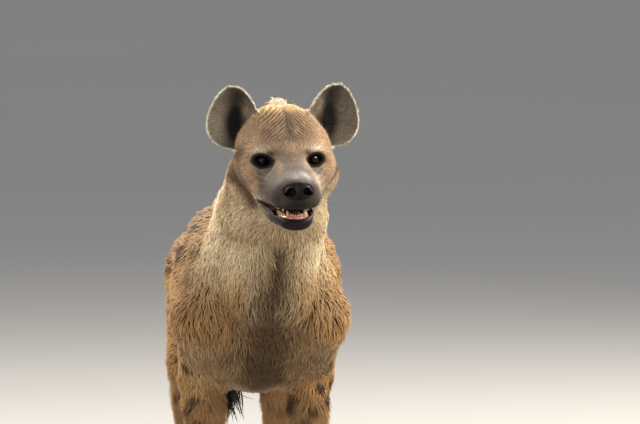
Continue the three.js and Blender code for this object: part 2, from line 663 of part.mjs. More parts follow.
// The same mesh with each corner moved out along its normal.
function swollen({ pos, tri }, by) {
  const nrm = new Float64Array(pos.length);
  for (let t = 0; t < tri.length; t += 3) {
    const [a, b, c] = [tri[t] * 3, tri[t + 1] * 3, tri[t + 2] * 3];
    const u = [0, 1, 2].map((i) => pos[b + i] - pos[a + i]);
    const v = [0, 1, 2].map((i) => pos[c + i] - pos[a + i]);
    const n = [u[1] * v[2] - u[2] * v[1], u[2] * v[0] - u[0] * v[2], u[0] * v[1] - u[1] * v[0]];
    for (const p of [a, b, c]) for (let i = 0; i < 3; i++) nrm[p + i] += n[i];
  }
  const out = [];
  for (let i = 0; i < pos.length; i += 3) {
    const l = hypot(nrm[i], nrm[i + 1], nrm[i + 2]) || 1;
    for (let a = 0; a < 3; a++) out.push(pos[i + a] + (by * nrm[i + a]) / l);
  }
  return { pos: out, tri };
}
const planeGap = ([p, n], x, y, z) => (x - p[0]) * n[0] + (y - p[1]) * n[1] + (z - p[2]) * n[2];
const counts = {};
const CUTS = [];
function cutFace(x, y, z) {
  for (const c of CUTS) {
    const d = planeGap(c, x, y, z);
    if (abs(abs(d) - CUT / 2) < 0.02) return c;
  }
  return null;
}
// Fewer triangles for a cut piece, with its cut faces kept flat and on their own side of the cut.
function lighter(mesh, target) {
  if (mesh.tri.length / 3 <= target) return mesh;
  const near = (x, y, z) => {
    for (const s of [-1, 1]) {
      const e = fromHead(s * EYE_X, EYE_BACK, EYE_H);
      if (hypot(x - e[0], y - e[1], z - e[2]) < 17) return 8;
    }
    const q = fromHead(0, -78, -78);
    if (hypot(x - q[0], y - q[1], z - q[2]) < 54) return 4;
    return 1;
  };
  const flat = (a, b, c) => {
    for (const q of CUTS) {
      if ([a, b, c].every((p) => abs(abs(planeGap(q, ...p)) - CUT / 2) < 0.02)) return true;
    }
    return false;
  };
  const m = thin(mesh, target, near, flat);
  for (let i = 0; i < m.pos.length; i += 3) {
    for (let n = 0; n < 2; n++) {
      for (const [p, nn] of CUTS) {
        const d = planeGap([p, nn], m.pos[i], m.pos[i + 1], m.pos[i + 2]);
        if (abs(d) > CUT / 2 + 0.6) continue;
        const to = (d > 0 ? 1 : -1) * (CUT / 2) - d;
        if (abs(d) >= CUT / 2 - 1e-6 && abs(to) > 0.45) continue;
        for (let a = 0; a < 3; a++) m.pos[i + a] += nn[a] * to;
      }
    }
  }
  return m;
}
function add(name, m, colour, roughness, target) {
  let mesh = m.tri ? m : meshOf(m);
  mesh = largest(mesh);
  if (target) mesh = lighter(mesh, target);
  const one = mesh;
  const g = new THREE.BufferGeometry();
  const at = one.pos.map((v, i) => v - SHIFT[i % 3]);
  g.setAttribute("position", new THREE.Float32BufferAttribute(at, 3));
  g.setIndex(one.tri);
  g.computeVertexNormals();
  const material = new THREE.MeshStandardMaterial({ color: colour, roughness, metalness: 0 });
  material.name = name;
  const node = new THREE.Mesh(g, material);
  node.name = name;
  nodes.add(node);
  counts[name] = one.tri.length / 3;
  return one;
}
const SHIFT = [SHIFT_X, SHIFT_Y, 0];

// ---------------------------------------------------------------- the body
const HEAD_CUT = [[0, -490, 775], [0, -0.911, 0.412]];
const NECK_CUT = [[0, -250, 830], [0, -0.874, 0.486]];
const away = ([p, n]) => [p, n.map((v) => -v)];

const bodyOnly = (x, y, z) => max(gap(x, y, z), planeGap(HEAD_CUT, x, y, z) - 22);
const headOnly = (x, y, z) => max(gap(x, y, z), -planeGap(HEAD_CUT, x, y, z) - 14);
const body = settle(
  thin(surfaceOf(bodyOnly, [-225, -640, 128], [225, 560, 1010], 9.5), BODY_TRIANGLES, (x, y, z) => (z < 420 ? 3 : y < -380 ? 1.6 : 1)),
  bodyOnly,
  8,
);
const bodySolid = solid(body);

// legs: the space that each takes, and the levels of elbow, wrist, knee and hock
const ELBOW_Z = 405;
const WRIST_Z = 150;
const KNEE_Z = 400;
const HOCK_Z = 226;
function legSpace(s, front) {
  const upper = front
    ? [
        [[s * 50, 0, ELBOW_Z], [s * 0.934, 0, -0.358]],
        [[0, -150, 0], [0, -1, 0]],
        away(NECK_CUT),
      ]
    : [
        [[s * 45, 0, KNEE_Z], [s * 0.97, 0, -0.244]],
        [[0, 190, 0], [0, 1, 0]],
      ];
  const low = front
    ? [[[s * 15, 0, 0], [s, 0, 0]], [[0, 0, 0], [0, -1, 0]]]
    : [[[s * 15, 0, 0], [s, 0, 0]], [[0, 100, 0], [0, 1, 0]]];
  return { upper, low };
}
const H = CUT / 2;
let trunk = bodySolid;
for (const front of [true, false]) {
  for (const s of [1, -1]) {
    const { upper, low } = legSpace(s, front);
    const bend = front ? ELBOW_Z : KNEE_Z;
    const end = front ? WRIST_Z : HOCK_Z;
    const over = [[0, 0, bend], [0, 0, 1]];
    const name = (front ? "front_" : "hind_") + (s > 0 ? "left" : "right");
    add("leg_" + name + (front ? "_upper_arm" : "_thigh"), bodySolid.intersect(region([...upper, over], -H)), "#b08a5e", 0.9, 300);
    add(
      "leg_" + name + (front ? "_forearm" : "_shank"),
      bodySolid.intersect(region([...low, away(over), [[0, 0, end], [0, 0, 1]]], -H)),
      "#9c7850",
      0.9,
      front ? 190 : 250,
    );
    trunk = trunk.subtract(region([...upper, [[0, 0, bend - 40], [0, 0, 1]]], H)).subtract(region([...low, away(over)], H));
  }
}
const TAIL_CUT = [[0, 470, 640], [0, 0.94, -0.34]];
const trunkMid = [[0, 60, 0], [0, 1, 0]];
const tailSpace = [TAIL_CUT, [[-60, 0, 0], [1, 0, 0]], [[60, 0, 0], [-1, 0, 0]]];
add("neck", trunk.intersect(region([NECK_CUT, away(HEAD_CUT)], -H)), "#b59468", 0.9, 360);
add("thorax", trunk.intersect(region([away(NECK_CUT), away(trunkMid)], -H)), "#a98459", 0.9, 620);
add("abdomen", trunk.intersect(region([trunkMid], -H)).subtract(region(tailSpace, H)), "#a98459", 0.9, 500);
add("tail", trunk.intersect(region(tailSpace, -H)), "#4a3826", 0.9, 260);

// ---------------------------------------------------------------- feet and claws
// A claw: a curved, tapering horn whose root follows the toe that it grows from.
function curvedClaw(from, to, r0, r1, around) {
  const a = new THREE.Vector3(...from);
  const b = new THREE.Vector3(...to);
  const m = a.clone().add(b).multiplyScalar(0.5).add(new THREE.Vector3(0, 0, 3.5));
  const pos = [];
  const tri = [];
  const rings = 3;
  const ringAt = (t) => {
    const p = a.clone().multiplyScalar((1 - t) ** 2).add(m.clone().multiplyScalar(2 * t * (1 - t))).add(b.clone().multiplyScalar(t * t));
    const d = m.clone().sub(a).multiplyScalar(1 - t).add(b.clone().sub(m).multiplyScalar(t)).normalize();
    const u = new THREE.Vector3(0, 0, 1).cross(d).normalize();
    const v = d.clone().cross(u);
    const r = r0 + (r1 - r0) * t;
    return { p, d, u, v, r };
  };
  const clear = (p, d) => {
    for (let n = 0; n < 60 && gap(p.x, p.y, p.z) < 0.7; n++) p.addScaledVector(d, 0.4);
    return p;
  };
  const start = ringAt(0.25);
  for (let i = 0; i < rings; i++) {
    const { p, d, u, v, r } = ringAt(0.25 + (0.75 * i) / (rings - 1));
    for (let k = 0; k < around; k++) {
      const w = (2 * PI * k) / around;
      const q = p.clone().addScaledVector(u, 0.72 * r * cos(w)).addScaledVector(v, r * sin(w));
      if (i === 0) clear(q, start.d);
      pos.push(...q.toArray());
    }
  }
  for (let i = 0; i < rings - 1; i++) {
    for (let k = 0; k < around; k++) {
      const q = i * around + k;
      const q2 = i * around + ((k + 1) % around);
      tri.push(q, q2, q2 + around, q, q2 + around, q + around);
    }
  }
  const c0 = pos.length / 3;
  pos.push(...clear(start.p.clone(), start.d).toArray(), ...b.toArray());
  for (let k = 0; k < around; k++) {
    tri.push(c0, (k + 1) % around, k);
    tri.push(c0 + 1, (rings - 1) * around + k, (rings - 1) * around + ((k + 1) % around));
  }
  return { pos, tri };
}
for (const f of PAWS) {
  const top = f.front ? WRIST_Z : HOCK_Z;
  const level = [[0, 0, top], [0, 0, -1]];
  const lo = [f.x - 62, f.y - 95, -12];
  const hi = [f.x + 62, f.y + (f.front ? 110 : 130), top + 20];
  const raw = surfaceOf(wholeGap, lo, hi, 4.4);
  const paw = settle(thin(raw, 226, (x, y, z) => (z < 60 ? 2.5 : 1)), wholeGap, 6);
  const name = (f.front ? "front_" : "hind_") + (f.s > 0 ? "left" : "right");
  // small flats under the pad and the toes, all at the level of the floor
  const cut = meshOf(solid(paw).intersect(region([level], -H)).intersect(side([0, 0, 0], [0, 0, 1], 0)));
  for (let i = 2; i < cut.pos.length; i += 3) if (abs(cut.pos[i]) < 0.02) cut.pos[i] = 0;
  add("leg_" + name + (f.front ? "_paw" : "_foot"), cut, "#7d6243", 0.9);
  let k = 0;
  for (const i of [-1.5, -0.5, 0.5, 1.5]) {
    k++;
    const x = f.x + i * 18.5 * f.size;
    const y = f.y - (51 - abs(i) * 12 + 17) * f.size;
    const claw = curvedClaw([x, y + 4, 15 * f.size], [x + i * 0.8, y - 19 * f.size, 4.6], 5.6 * f.size, 1.2, 7);
    add("claw_" + name + "_" + k, facingOut(claw), "#2c241c", 0.4);
  }
}

// ---------------------------------------------------------------- head
const headPlane = ([p, n]) => [fromHead(...p), new THREE.Vector3(...n).transformDirection(headTurn).toArray()];
const headRaw = surfaceOf(headOnly, [-92, -702, 672], [158, -372, 1022], 4);
const detail = (x, y, z) => {
  const [hx, hy, hz] = toHead(x, y, z);
  if (abs(hx) < 75 && hy < 6 && hz > -28 && hz < 25) return 3;
  if (hy < 30 && hz < 10) return 2.2;
  return hy > 110 || hz < -125 ? 0.6 : 1;
};
const head = settle(thin(headRaw, HEAD_TRIANGLES, detail), headOnly, 5);
let skull = solid(head).intersect(region([HEAD_CUT], -H));

function ballMesh(c, r, around, up, turn) {
  const g = new THREE.SphereGeometry(1, around, up);
  g.rotateX(PI / 2);
  g.scale(...r);
  if (turn) g.rotateZ((turn * PI) / 180);
  g.translate(...c);
  g.applyMatrix4(headTurn);
  return fromGeometry(g);
}
const eyesMade = [];
// eyes in their sockets, seen through the opening between the lids
for (const s of [-1, 1]) {
  const c = [s * EYE_X, EYE_BACK, EYE_H];
  eyesMade.push(add(s > 0 ? "eye_left" : "eye_right", ballMesh(c, [EYE_R, EYE_R, EYE_R], 12, 8), "#1a120c", 0.08));
  skull = skull.subtract(solid(ballMesh(c, [EYE_R + 1.5, EYE_R + 1.5, EYE_R + 1.5], 12, 8)));
  skull = skull.subtract(solid(ballMesh([s * (EYE_X + 2.6), EYE_BACK - 13.8, EYE_H], [13.2, 12, 11], 12, 8, s * 12)));
}

// nose: the end of the muzzle, with two nostrils
const inHead = (list) => (x, y, z) => groupGap(list, ...toHead(x, y, z));
const pad = inHead(groups.nose);
const holes = inHead(groups.nostril);
const noseGap = (x, y, z) => max(gap(x, y, z), pad(x, y, z), -holes(x, y, z));
const [nx, ny, nz] = fromHead(0, -110, -53);
const noseMesh = thin(surfaceOf(noseGap, [nx - 34, ny - 30, nz - 26], [nx + 34, ny + 26, nz + 26], 2.2), 230);
const noseMade = add("nose", noseMesh, "#15120f", 0.35);
const padBall = groups.nose[0];
skull = skull.subtract(solid(ballMesh(padBall.c, padBall.r.map((v) => v + CUT + 1), 16, 10)));

// teeth: each row is one piece of gum with its teeth standing in it
function toothRow(list, gum, up) {
  let row = null;
  const join = (m) => {
    row = row ? row.add(solid(m)) : solid(m);
  };
  const toWorld = (m) => {
    const pos = [];
    for (let i = 0; i < m.pos.length; i += 3) pos.push(...fromHead(m.pos[i], m.pos[i + 1], m.pos[i + 2]));
    return { pos, tri: m.tri };
  };
  // the gum: a bent bar through the roots
  const ring = 6;
  const pos = [];
  const tri = [];
  gum.forEach(([x, y, z, w, h], i) => {
    const a = gum[max(0, i - 1)];
    const b = gum[min(gum.length - 1, i + 1)];
    const l = hypot(b[0] - a[0], b[1] - a[1]);
    const [px, py] = [-(b[1] - a[1]) / l, (b[0] - a[0]) / l];
    for (let k = 0; k < ring; k++) {
      const t = (2 * PI * (k + 0.5)) / ring;
      pos.push(x + px * w * cos(t), y + py * w * cos(t), z + h * sin(t));
    }
  });
  for (let i = 0; i < gum.length - 1; i++) {
    for (let k = 0; k < ring; k++) {
      const q = i * ring + k;
      const q2 = i * ring + ((k + 1) % ring);
      tri.push(q, q2, q2 + ring, q, q2 + ring, q + ring);
    }
  }
  for (let k = 1; k < ring - 1; k++) {
    tri.push(0, k + 1, k);
    const e = (gum.length - 1) * ring;
    tri.push(e, e + k, e + k + 1);
  }
  join(facingOut(toWorld({ pos, tri })));
  for (const [x, y, z, w, d, h, lean] of list) {
    const n = 6;
    const tp = [];
    const tt = [];
    const levels = [[-3, 1], [0.45 * h, 0.92], [h, 0.3]];
    for (const [at, k] of levels) {
      for (let i = 0; i < n; i++) {
        const t = (2 * PI * (i + 0.5)) / n;
        tp.push(x + w * k * cos(t) + lean * Math.sign(x) * max(at, 0) * 0.12, y + d * k * sin(t) - 0.1 * max(at, 0), z + up * at);
      }
    }
    for (let l = 0; l < 2; l++) {
      for (let i = 0; i < n; i++) {
        const q = l * n + i;
        const q2 = l * n + ((i + 1) % n);
        tt.push(q, q2, q2 + n, q, q2 + n, q + n);
      }
    }
    for (let i = 1; i < n - 1; i++) {
      tt.push(0, i + 1, i);
      tt.push(2 * n, 2 * n + i, 2 * n + i + 1);
    }
    join(facingOut(toWorld({ pos: tp, tri: tt })));
  }
  return row;
}
const GUM_Y = -88;
const lowerGum = [];
for (const x of [-24, -22, -19, -12, -4, 4, 12, 19, 22, 24]) {
  const a = abs(x);
  lowerGum.push([x, a > 20 ? -44 - (24 - a) * 12 : GUM_Y + (a * a) / 34, -107 + (a > 20 ? (24 - a) * -0.4 + 2 : 0), 4.4, 4.2]);
}
const upperGum = lowerGum.map(([x, y, , w, h]) => [x * 1.12, y - 3, -82, w, h]);
const LOWER_TEETH = [
  [-2.8, GUM_Y, -104, 2.3, 2.2, 6.5, 0], [2.8, GUM_Y, -104, 2.3, 2.2, 6.5, 0], [-7.8, -87, -104, 2.5, 2.3, 7.2, 0],
  [7.8, -87, -104, 2.5, 2.3, 7.2, 0], [-14.8, -80, -104, 3.9, 4, 12.5, 1], [14.8, -80, -104, 3.9, 4, 12.5, 1],
  [-20.8, -70, -104, 3.3, 4.8, 8, 0], [20.8, -70, -104, 3.3, 4.8, 8, 0], [-22.8, -58, -103, 3.6, 5.4, 8.5, 0], [22.8, -58, -103, 3.6, 5.4, 8.5, 0],
];
const UPPER_TEETH = [
  [-3.2, GUM_Y - 3, -85, 2.6, 2.2, 6, 0], [3.2, GUM_Y - 3, -85, 2.6, 2.2, 6, 0], [-9, -89.5, -85, 2.8, 2.4, 6.5, 0],
  [9, -89.5, -85, 2.8, 2.4, 6.5, 0], [-14.6, -88, -85, 3.2, 2.8, 7, 0], [14.6, -88, -85, 3.2, 2.8, 7, 0],
  [-23.6, -69, -85, 4.6, 5.2, 11, 0], [23.6, -69, -85, 4.6, 5.2, 11, 0],
];
const lowTeeth = toothRow(LOWER_TEETH, lowerGum, 1);
const highTeeth = toothRow(UPPER_TEETH, upperGum, -1);
const TONGUE = [[0, -38, -104], [18, 42, 7]];
const tongue = ballMesh(TONGUE[0], TONGUE[1], 10, 6);

// the lower jaw, below the line of the mouth and in front of its joint with the cheek
const jawLine = headPlane([[0, MOUTH_CORNER_Y, MOUTH_CORNER_Z], [0, -(MOUTH_TOP_SLOPE + MOUTH_LOW_SLOPE) / 200, -1]]);
const jawBack = headPlane([[0, MOUTH_CORNER_Y + 4, MOUTH_CORNER_Z], [0, -0.838, -0.546]]);
let jaw = skull.intersect(region([jawLine, jawBack], -H));
skull = skull.subtract(region([jawLine, jawBack], H));
const lowMade = add("lower_teeth", lowTeeth, "#e6dcc0", 0.35, 210);
const highMade = add("upper_teeth", highTeeth, "#e6dcc0", 0.35, 210);
const tongueMade = add("tongue", tongue, "#a8605c", 0.5);
for (const m of [lowMade, highMade, tongueMade]) {
  jaw = jaw.subtract(solid(swollen(m, 1.4)));
  skull = skull.subtract(solid(swollen(m, 1.4)));
}
add("lower_jaw", jaw, "#8a6c4a", 0.9, 560);
const headMade = add("head", skull, "#a88259", 0.9, 1780);
const headGrown = solid(swollen(headMade, 0.6));

// ears: rounded bowls, standing from the sides of the head and turned forward and a little out
function earPoint(s, t, r, outer) {
  // the rim: broader below than above, a little squared
  const full = pow(pow(abs(cos(t)) / (1 - 0.28 * sin(t)), 2.27) + pow(abs(sin(t)), 2.27), -1 / 2.27);
  let x = EAR_HALF_W * full * cos(t);
  let z = EAR_HALF_H * full * sin(t);
  const inner = 1 - r;
  z = EAR_Z + z * r - inner * EAR_HALF_H * 0.22;
  x = EAR_X + x * r - inner * EAR_HALF_W * 0.3 - EAR_LEAN * (z - EAR_Z);
  const lean = EAR_FACE_Y + EAR_SLANT * (x - 50) + 0.1 * (z - EAR_Z);
  const depth = EAR_CUP * pow(max(0, 1 - r * r), 0.7);
  const thick = outer ? 4 + 5 * inner : 0;
  x -= 0.34 * thick;
  const a = EAR_TURN * s;
  const dx = x - EAR_X;
  const dz = z - EAR_Z;
  return [EAR_X + dx * cos(a) + dz * sin(a), lean + depth + thick, EAR_Z - dx * sin(a) + dz * cos(a)];
}
function earShell(s) {
  const around = 26;
  const rings = 4;
  const pos = [];
  const tri = [];
  const levels = [];
  for (let k = 1; k <= rings; k++) levels.push([pow(k / rings, 0.8), false]);
  for (let k = rings; k >= 1; k--) levels.push([pow(k / rings, 0.8), true]);
  const put = ([x, y, z]) => pos.push(...fromHead(s * x + EAR_SHIFT, y, z));
  for (const [r, outer] of levels) for (let i = 0; i < around; i++) put(earPoint(s, (2 * PI * i) / around, r, outer));
  const L = levels.length;
  for (let k = 0; k < L - 1; k++) {
    for (let i = 0; i < around; i++) {
      const a = k * around + i;
      const b = k * around + ((i + 1) % around);
      tri.push(a, b, b + around, a, b + around, a + around);
    }
  }
  const c0 = pos.length / 3;
  put(earPoint(s, 0, 0, false));
  put(earPoint(s, 0, 0, true));
  for (let i = 0; i < around; i++) {
    const j = (i + 1) % around;
    tri.push(c0, j, i);
    tri.push(c0 + 1, (L - 1) * around + i, (L - 1) * around + j);
  }
  return facingOut({ pos, tri });
}
for (const s of [-1, 1]) {
  add(s > 0 ? "ear_left" : "ear_right", solid(earShell(s)).subtract(headGrown), "#4d4036", 0.9, 390);
}
export default nodes;
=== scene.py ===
import math
from concurrent.futures import ThreadPoolExecutor

import bmesh
import bpy
import numpy as np
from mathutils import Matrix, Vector


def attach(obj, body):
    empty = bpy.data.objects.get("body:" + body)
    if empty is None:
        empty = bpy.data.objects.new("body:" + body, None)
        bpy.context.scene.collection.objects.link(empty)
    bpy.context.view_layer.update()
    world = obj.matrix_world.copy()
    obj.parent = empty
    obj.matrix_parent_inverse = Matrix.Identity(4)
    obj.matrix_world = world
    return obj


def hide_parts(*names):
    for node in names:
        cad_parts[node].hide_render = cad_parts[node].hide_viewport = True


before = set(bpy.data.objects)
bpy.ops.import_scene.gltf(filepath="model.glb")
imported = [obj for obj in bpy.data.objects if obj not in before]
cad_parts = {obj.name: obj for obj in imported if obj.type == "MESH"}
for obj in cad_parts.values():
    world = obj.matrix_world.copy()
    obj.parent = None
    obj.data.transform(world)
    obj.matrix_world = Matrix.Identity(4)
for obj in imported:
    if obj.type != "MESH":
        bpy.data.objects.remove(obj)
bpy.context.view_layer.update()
POOL = ThreadPoolExecutor(4)
rng = np.random.default_rng(20250611)

# ---------------------------------------------------------------- the view
# Straight on from a little to the animal's right and a little above, from far away. The picture is 640 x 424.
VIEW_AZ, VIEW_EL, VIEW_FAR = -5.0, 4.5, 14.0
MM_PER_PIXEL = 1.9
EYES_AT_PIXEL = (288.5, 159.0)

# ---------------------------------------------------------------- shapes that the anatomy is made of
GROUPS = {}
PAWS = []


def shape(group, s):
    GROUPS.setdefault(group, []).append(s)


def ball(group, name, c, r, blend, tilt):
    shape(group, dict(kind=0, name=name, c=c, r=r, blend=blend, tilt=math.radians(tilt), sign=1))


def carve(group, name, c, r, blend, tilt):
    shape(group, dict(kind=0, name=name, c=c, r=r, blend=blend, tilt=math.radians(tilt), sign=-1))


def cone(group, name, a, b, ra, rb, blend, flat):
    shape(group, dict(kind=1, name=name, a=a, b=b, ra=ra, rb=rb, blend=blend, flat=flat, sign=1))


def footprint(s, x, y, size):
    PAWS.append(dict(s=s, x=x, y=y, size=size, front=y < 0))


# ---- driving sizes, mm ----
# Height of the withers and of the eyes over the floor, and where they stand along the body.
WITHERS_Z = 800
WITHERS_Y = -225
EYE_Z = 900
EYE_Y = -560
EYE_MID_X = 36
# The neck bends to the left and the head is turned and tipped a little.
HEAD_YAW = -4
HEAD_PITCH = 0
HEAD_ROLL = 1
# The shift that puts the middle of the whole animal's footprint over the origin.
SHIFT_X = 1.9
SHIFT_Y = -70.3
EYE_R = 13
EYE_X = 48
EYE_BACK = 11
EYE_H = -2.5
EAR_X = 97
EAR_Z = 76.5
EAR_HALF_W = 51
EAR_HALF_H = 62
EAR_LEAN = -0.06
# Each ear is turned a little its own way: the left one outward, the right one inward, in radians.
EAR_TURN = 0.1
EAR_SHIFT = 4
EAR_CUP = 34
EAR_FACE_Y = 62
EAR_SLANT = 0.14
TAIL_TIP_Z = 335
# The mouth: its corners, how far the two lips fall over 100 mm forward, and how much the line curls up at the sides.
MOUTH_CORNER_Y = 22
MOUTH_CORNER_Z = -84
MOUTH_TOP_SLOPE = -4.7
MOUTH_LOW_SLOPE = -19.5
MOUTH_SMILE = 3

# ---- trunk ----
ball("trunk", "rib_cage_front", [0, -215, 600], [140, 180, 182], 40, 0)
ball("trunk", "rib_cage", [0, -50, 592], [152, 230, 172], 60, -4)
ball("trunk", "belly", [0, 150, 580], [145, 200, 148], 60, -6)
ball("trunk", "loin", [0, 300, 590], [118, 150, 130], 60, -10)
ball("trunk", "rump", [0, 400, 580], [98, 88, 108], 50, -20)
cone("trunk", "withers", [0, -290, 715], [0, -120, 725], 74, 66, 50, 0.8)
cone("trunk", "back", [0, -120, 700], [0, 330, 640], 78, 66, 60, 1)
ball("trunk", "breast", [0, -300, 590], [110, 90, 128], 50, 16)
ball("trunk", "brisket", [0, -238, 490], [66, 92, 48], 50, 6)
for s in [-1, 1]:
    cone("trunk", "shoulder_blade", [s * 72, -205, 735], [s * 108, -325, 585], 50, 60, 40, 1)
    ball("trunk", "shoulder_muscle", [s * 98, -235, 640], [58, 88, 92], 40, 0)
    ball("trunk", "hip", [s * 60, 335, 622], [50, 80, 76], 40, 0)

# ---- neck, bending to the head ----
cone("trunk", "neck_root", [0, -262, 655], [17, -384, 782], 144, 100, 60, 0.92)
cone("trunk", "neck", [19, -388, 784], [38, -440, 884], 102, 87, 42, 1)
cone("trunk", "nape", [0, -205, 752], [38, -428, 914], 56, 62, 50, 0.95)
cone("trunk", "throat", [40, -458, 800], [14, -396, 640], 60, 84, 34, 1)
for s in [-1, 1]:
    ball("trunk", "ruff", [38 + s * 64, -428, 862], [44, 56, 40], 30, 0)

# ---- legs: name, side, the shoulder, elbow, wrist and foot along Y ----
def foreleg(g, s, fy):
    cone(g, "upper_arm", [s * 108, -325, 570], [s * 104, -218, 452], 62, 44, 30, 1)
    ball(g, "triceps", [s * 104, -222, 520], [42, 62, 86], 36, 10)
    cone(g, "forearm", [s * 102, -222 + fy * 0.1, 445], [s * 94, -250 + fy * 0.7, 205], 50, 29, 26, 1)
    ball(g, "forearm_muscle", [s * 102, -240 + fy * 0.2, 395], [34, 42, 72], 26, 0)
    ball(g, "wrist", [s * 93, -252 + fy * 0.7, 178], [27, 29, 36], 16, 0)
    cone(g, "pastern", [s * 93, -250 + fy * 0.75, 170], [s * 94, -262 + fy, 56], 26, 27, 18, 1)
    paw(g, s, s * 95, -272 + fy, 1)
def hindleg(g, s, fy):
    cone(g, "thigh", [s * 72, 335, 600], [s * 92, 262 + fy * 0.3, 440], 84, 56, 40, 0.8)
    ball(g, "haunch", [s * 74, 388, 540], [44, 76, 96], 40, 12)
    ball(g, "thigh_mass", [s * 86, 322 + fy * 0.3, 476], [40, 86, 100], 40, 16)
    cone(g, "hamstring", [s * 78, 412, 500], [s * 90, 366 + fy * 0.5, 360], 50, 32, 36, 0.8)
    cone(g, "shank", [s * 94, 268 + fy * 0.3, 430], [s * 89, 408 + fy * 0.8, 238], 50, 25, 30, 1)
    ball(g, "calf", [s * 92, 340 + fy * 0.5, 378], [31, 44, 66], 30, 34)
    cone(g, "hock", [s * 89, 422 + fy * 0.8, 250], [s * 89, 416 + fy * 0.85, 205], 22, 25, 18, 1)
    cone(g, "hind_pastern", [s * 89, 412 + fy * 0.85, 210], [s * 90, 388 + fy, 52], 24, 23, 16, 1)
    paw(g, s, s * 91, 374 + fy, 0.92)
# A paw: the pad behind and four toes in front, all on the floor.
def paw(g, s, x, y, size):
    footprint(s, x, y, size)
    ball(g, "paw_pad", [x, y, 26 * size], [35 * size, 40 * size, 30 * size], 16, 0)
    ball(g, "paw_top", [x, y - 16 * size, 36 * size], [30 * size, 34 * size, 25 * size], 14, 0)
    for i in [-1.5, -0.5, 0.5, 1.5]:
        ball(g, "toe", [x + i * 18.5 * size, y - (51 - abs(i) * 12) * size, 16 * size], [12.5 * size, 22 * size, 18.5 * size], 6, 0)
foreleg("leg_front_left", 1, -22)
foreleg("leg_front_right", -1, 14)
hindleg("leg_hind_left", 1, 26)
hindleg("leg_hind_right", -1, -30)

# ---- tail, hanging behind the thighs ----
cone("tail", "tail_root", [0, 456, 636], [0, 500, 570], 30, 22, 20, 1)
cone("tail", "tail_bone", [0, 500, 570], [0, 514, 480], 22, 29, 20, 1)
cone("tail", "tail_brush", [0, 514, 480], [0, 508, 382], 30, 25, 24, 1)
cone("tail", "tail_tip", [0, 508, 390], [0, 502, TAIL_TIP_Z + 12], 24, 10, 20, 1)

# ---- head: its own frame, with the middle between the eyes at the origin ----
ball("head", "brain_case", [0, 84, 27], [88, 88, 62], 20, 0)
ball("head", "crest", [0, 98, 66], [60, 72, 36], 26, 0)
ball("head", "forehead", [0, 42, 32], [62, 52, 36], 26, 0)
ball("head", "brow", [0, 34, 6], [66, 46, 36], 24, 0)
ball("head", "occiput", [0, 134, 10], [72, 52, 62], 36, 0)
for s in [-1, 1]:
    ball("head", "cheek", [s * 50, 62, -8], [46, 64, 46], 26, 0)
    ball("head", "chewing_muscle", [s * 36, 44, -42], [33, 50, 36], 26, 0)
    ball("head", "ear_root", [s * 66, 142, 52], [26, 26, 34], 30, 0)
    ball("head", "cheekbone", [s * 55, 24, -22], [30, 40, 24], 34, 0)
    cone("head", "lip", [s * 25, 16, -52], [s * 18, -84, -62], 36, 28, 26, 1)
cone("head", "nose_bridge", [0, 10, -6], [0, -90, -43], 38, 23, 26, 1)
cone("head", "upper_jaw", [0, 20, -50], [0, -86, -60], 46, 34, 28, 1)
ball("head", "nose_end", [0, -104, -52], [27, 22, 18], 10, 0)
ball("head", "throat_latch", [0, 112, -30], [72, 56, 50], 30, 0)
for s in [-1, 1]:
    carve("head", "eye_hollow", [s * 59, -18, -5], [23, 19, 16], 16, 0)
    ball("head", "eyelids", [s * EYE_X, EYE_BACK, EYE_H], [16, 16, 16], 6, 0)
# The lower jaw, open a little.
for s in [-1, 1]:
    cone("jaw", "jaw_bone", [s * 25, 42, -86], [s * 18, -70, -108], 27, 15, 14, 1)
ball("jaw", "chin", [0, -84, -116], [29, 20, 15], 12, 0)
ball("jaw", "jaw_floor", [0, -10, -104], [34, 72, 22], 14, 0)
# The nose pad is what this egg holds of the muzzle's end, less the two nostrils.
ball("nose", "nose_pad", [0, -115, -53], [28, 23, 16.5], 6, 0)
for s in [-1, 1]:
    ball("nostril", "nostril", [s * 14, -124, -54], [7, 9, 6.5], 3, 0)
# The room inside the mouth.
ball("mouth", "mouth_room", [0, -46, -95], [36, 49, 20], 8, 0)

SHIFT = np.array([SHIFT_X, SHIFT_Y, 0.0])


def to_row(p):
    """Anatomy millimetres to metres in the part's frame."""
    return (np.asarray(p, float) - SHIFT) * 0.001


# ---------------------------------------------------------------- how far points are from the outline
def ball_gap(s, x, y, z):
    dx = x - s["c"][0]
    dy = y - s["c"][1]
    dz = z - s["c"][2]
    if s["tilt"]:
        c, t = math.cos(s["tilt"]), math.sin(s["tilt"])
        dy, dz = c * dy + t * dz, c * dz - t * dy
    a, b, c = s["r"]
    ax, ay, az = dx / a, dy / b, dz / c
    k0 = np.sqrt(ax * ax + ay * ay + az * az)
    ax /= a
    ay /= b
    az /= c
    k1 = np.sqrt(ax * ax + ay * ay + az * az)
    return np.where(k0 < 1e-6, -min(a, b, c), k0 * (k0 - 1) / np.maximum(k1, 1e-12))


def cone_gap(s, x, y, z):
    a, b = s["a"], s["b"]
    ex, ey, ez = b[0] - a[0], b[1] - a[1], b[2] - a[2]
    dx, dy, dz = x - a[0], y - a[1], z - a[2]
    h = np.clip((dx * ex + dy * ey + dz * ez) / (ex * ex + ey * ey + ez * ez), 0, 1)
    qx = (dx - h * ex) / s["flat"]
    qy = dy - h * ey
    qz = dz - h * ez
    return np.sqrt(qx * qx + qy * qy + qz * qz) - (s["ra"] + (s["rb"] - s["ra"]) * h)


def smin(a, b, k):
    h = np.maximum(k - np.abs(a - b), 0) / k
    return np.minimum(a, b) - h * h * (k / 4)


def smax(a, b, k):
    return -smin(-a, -b, k)


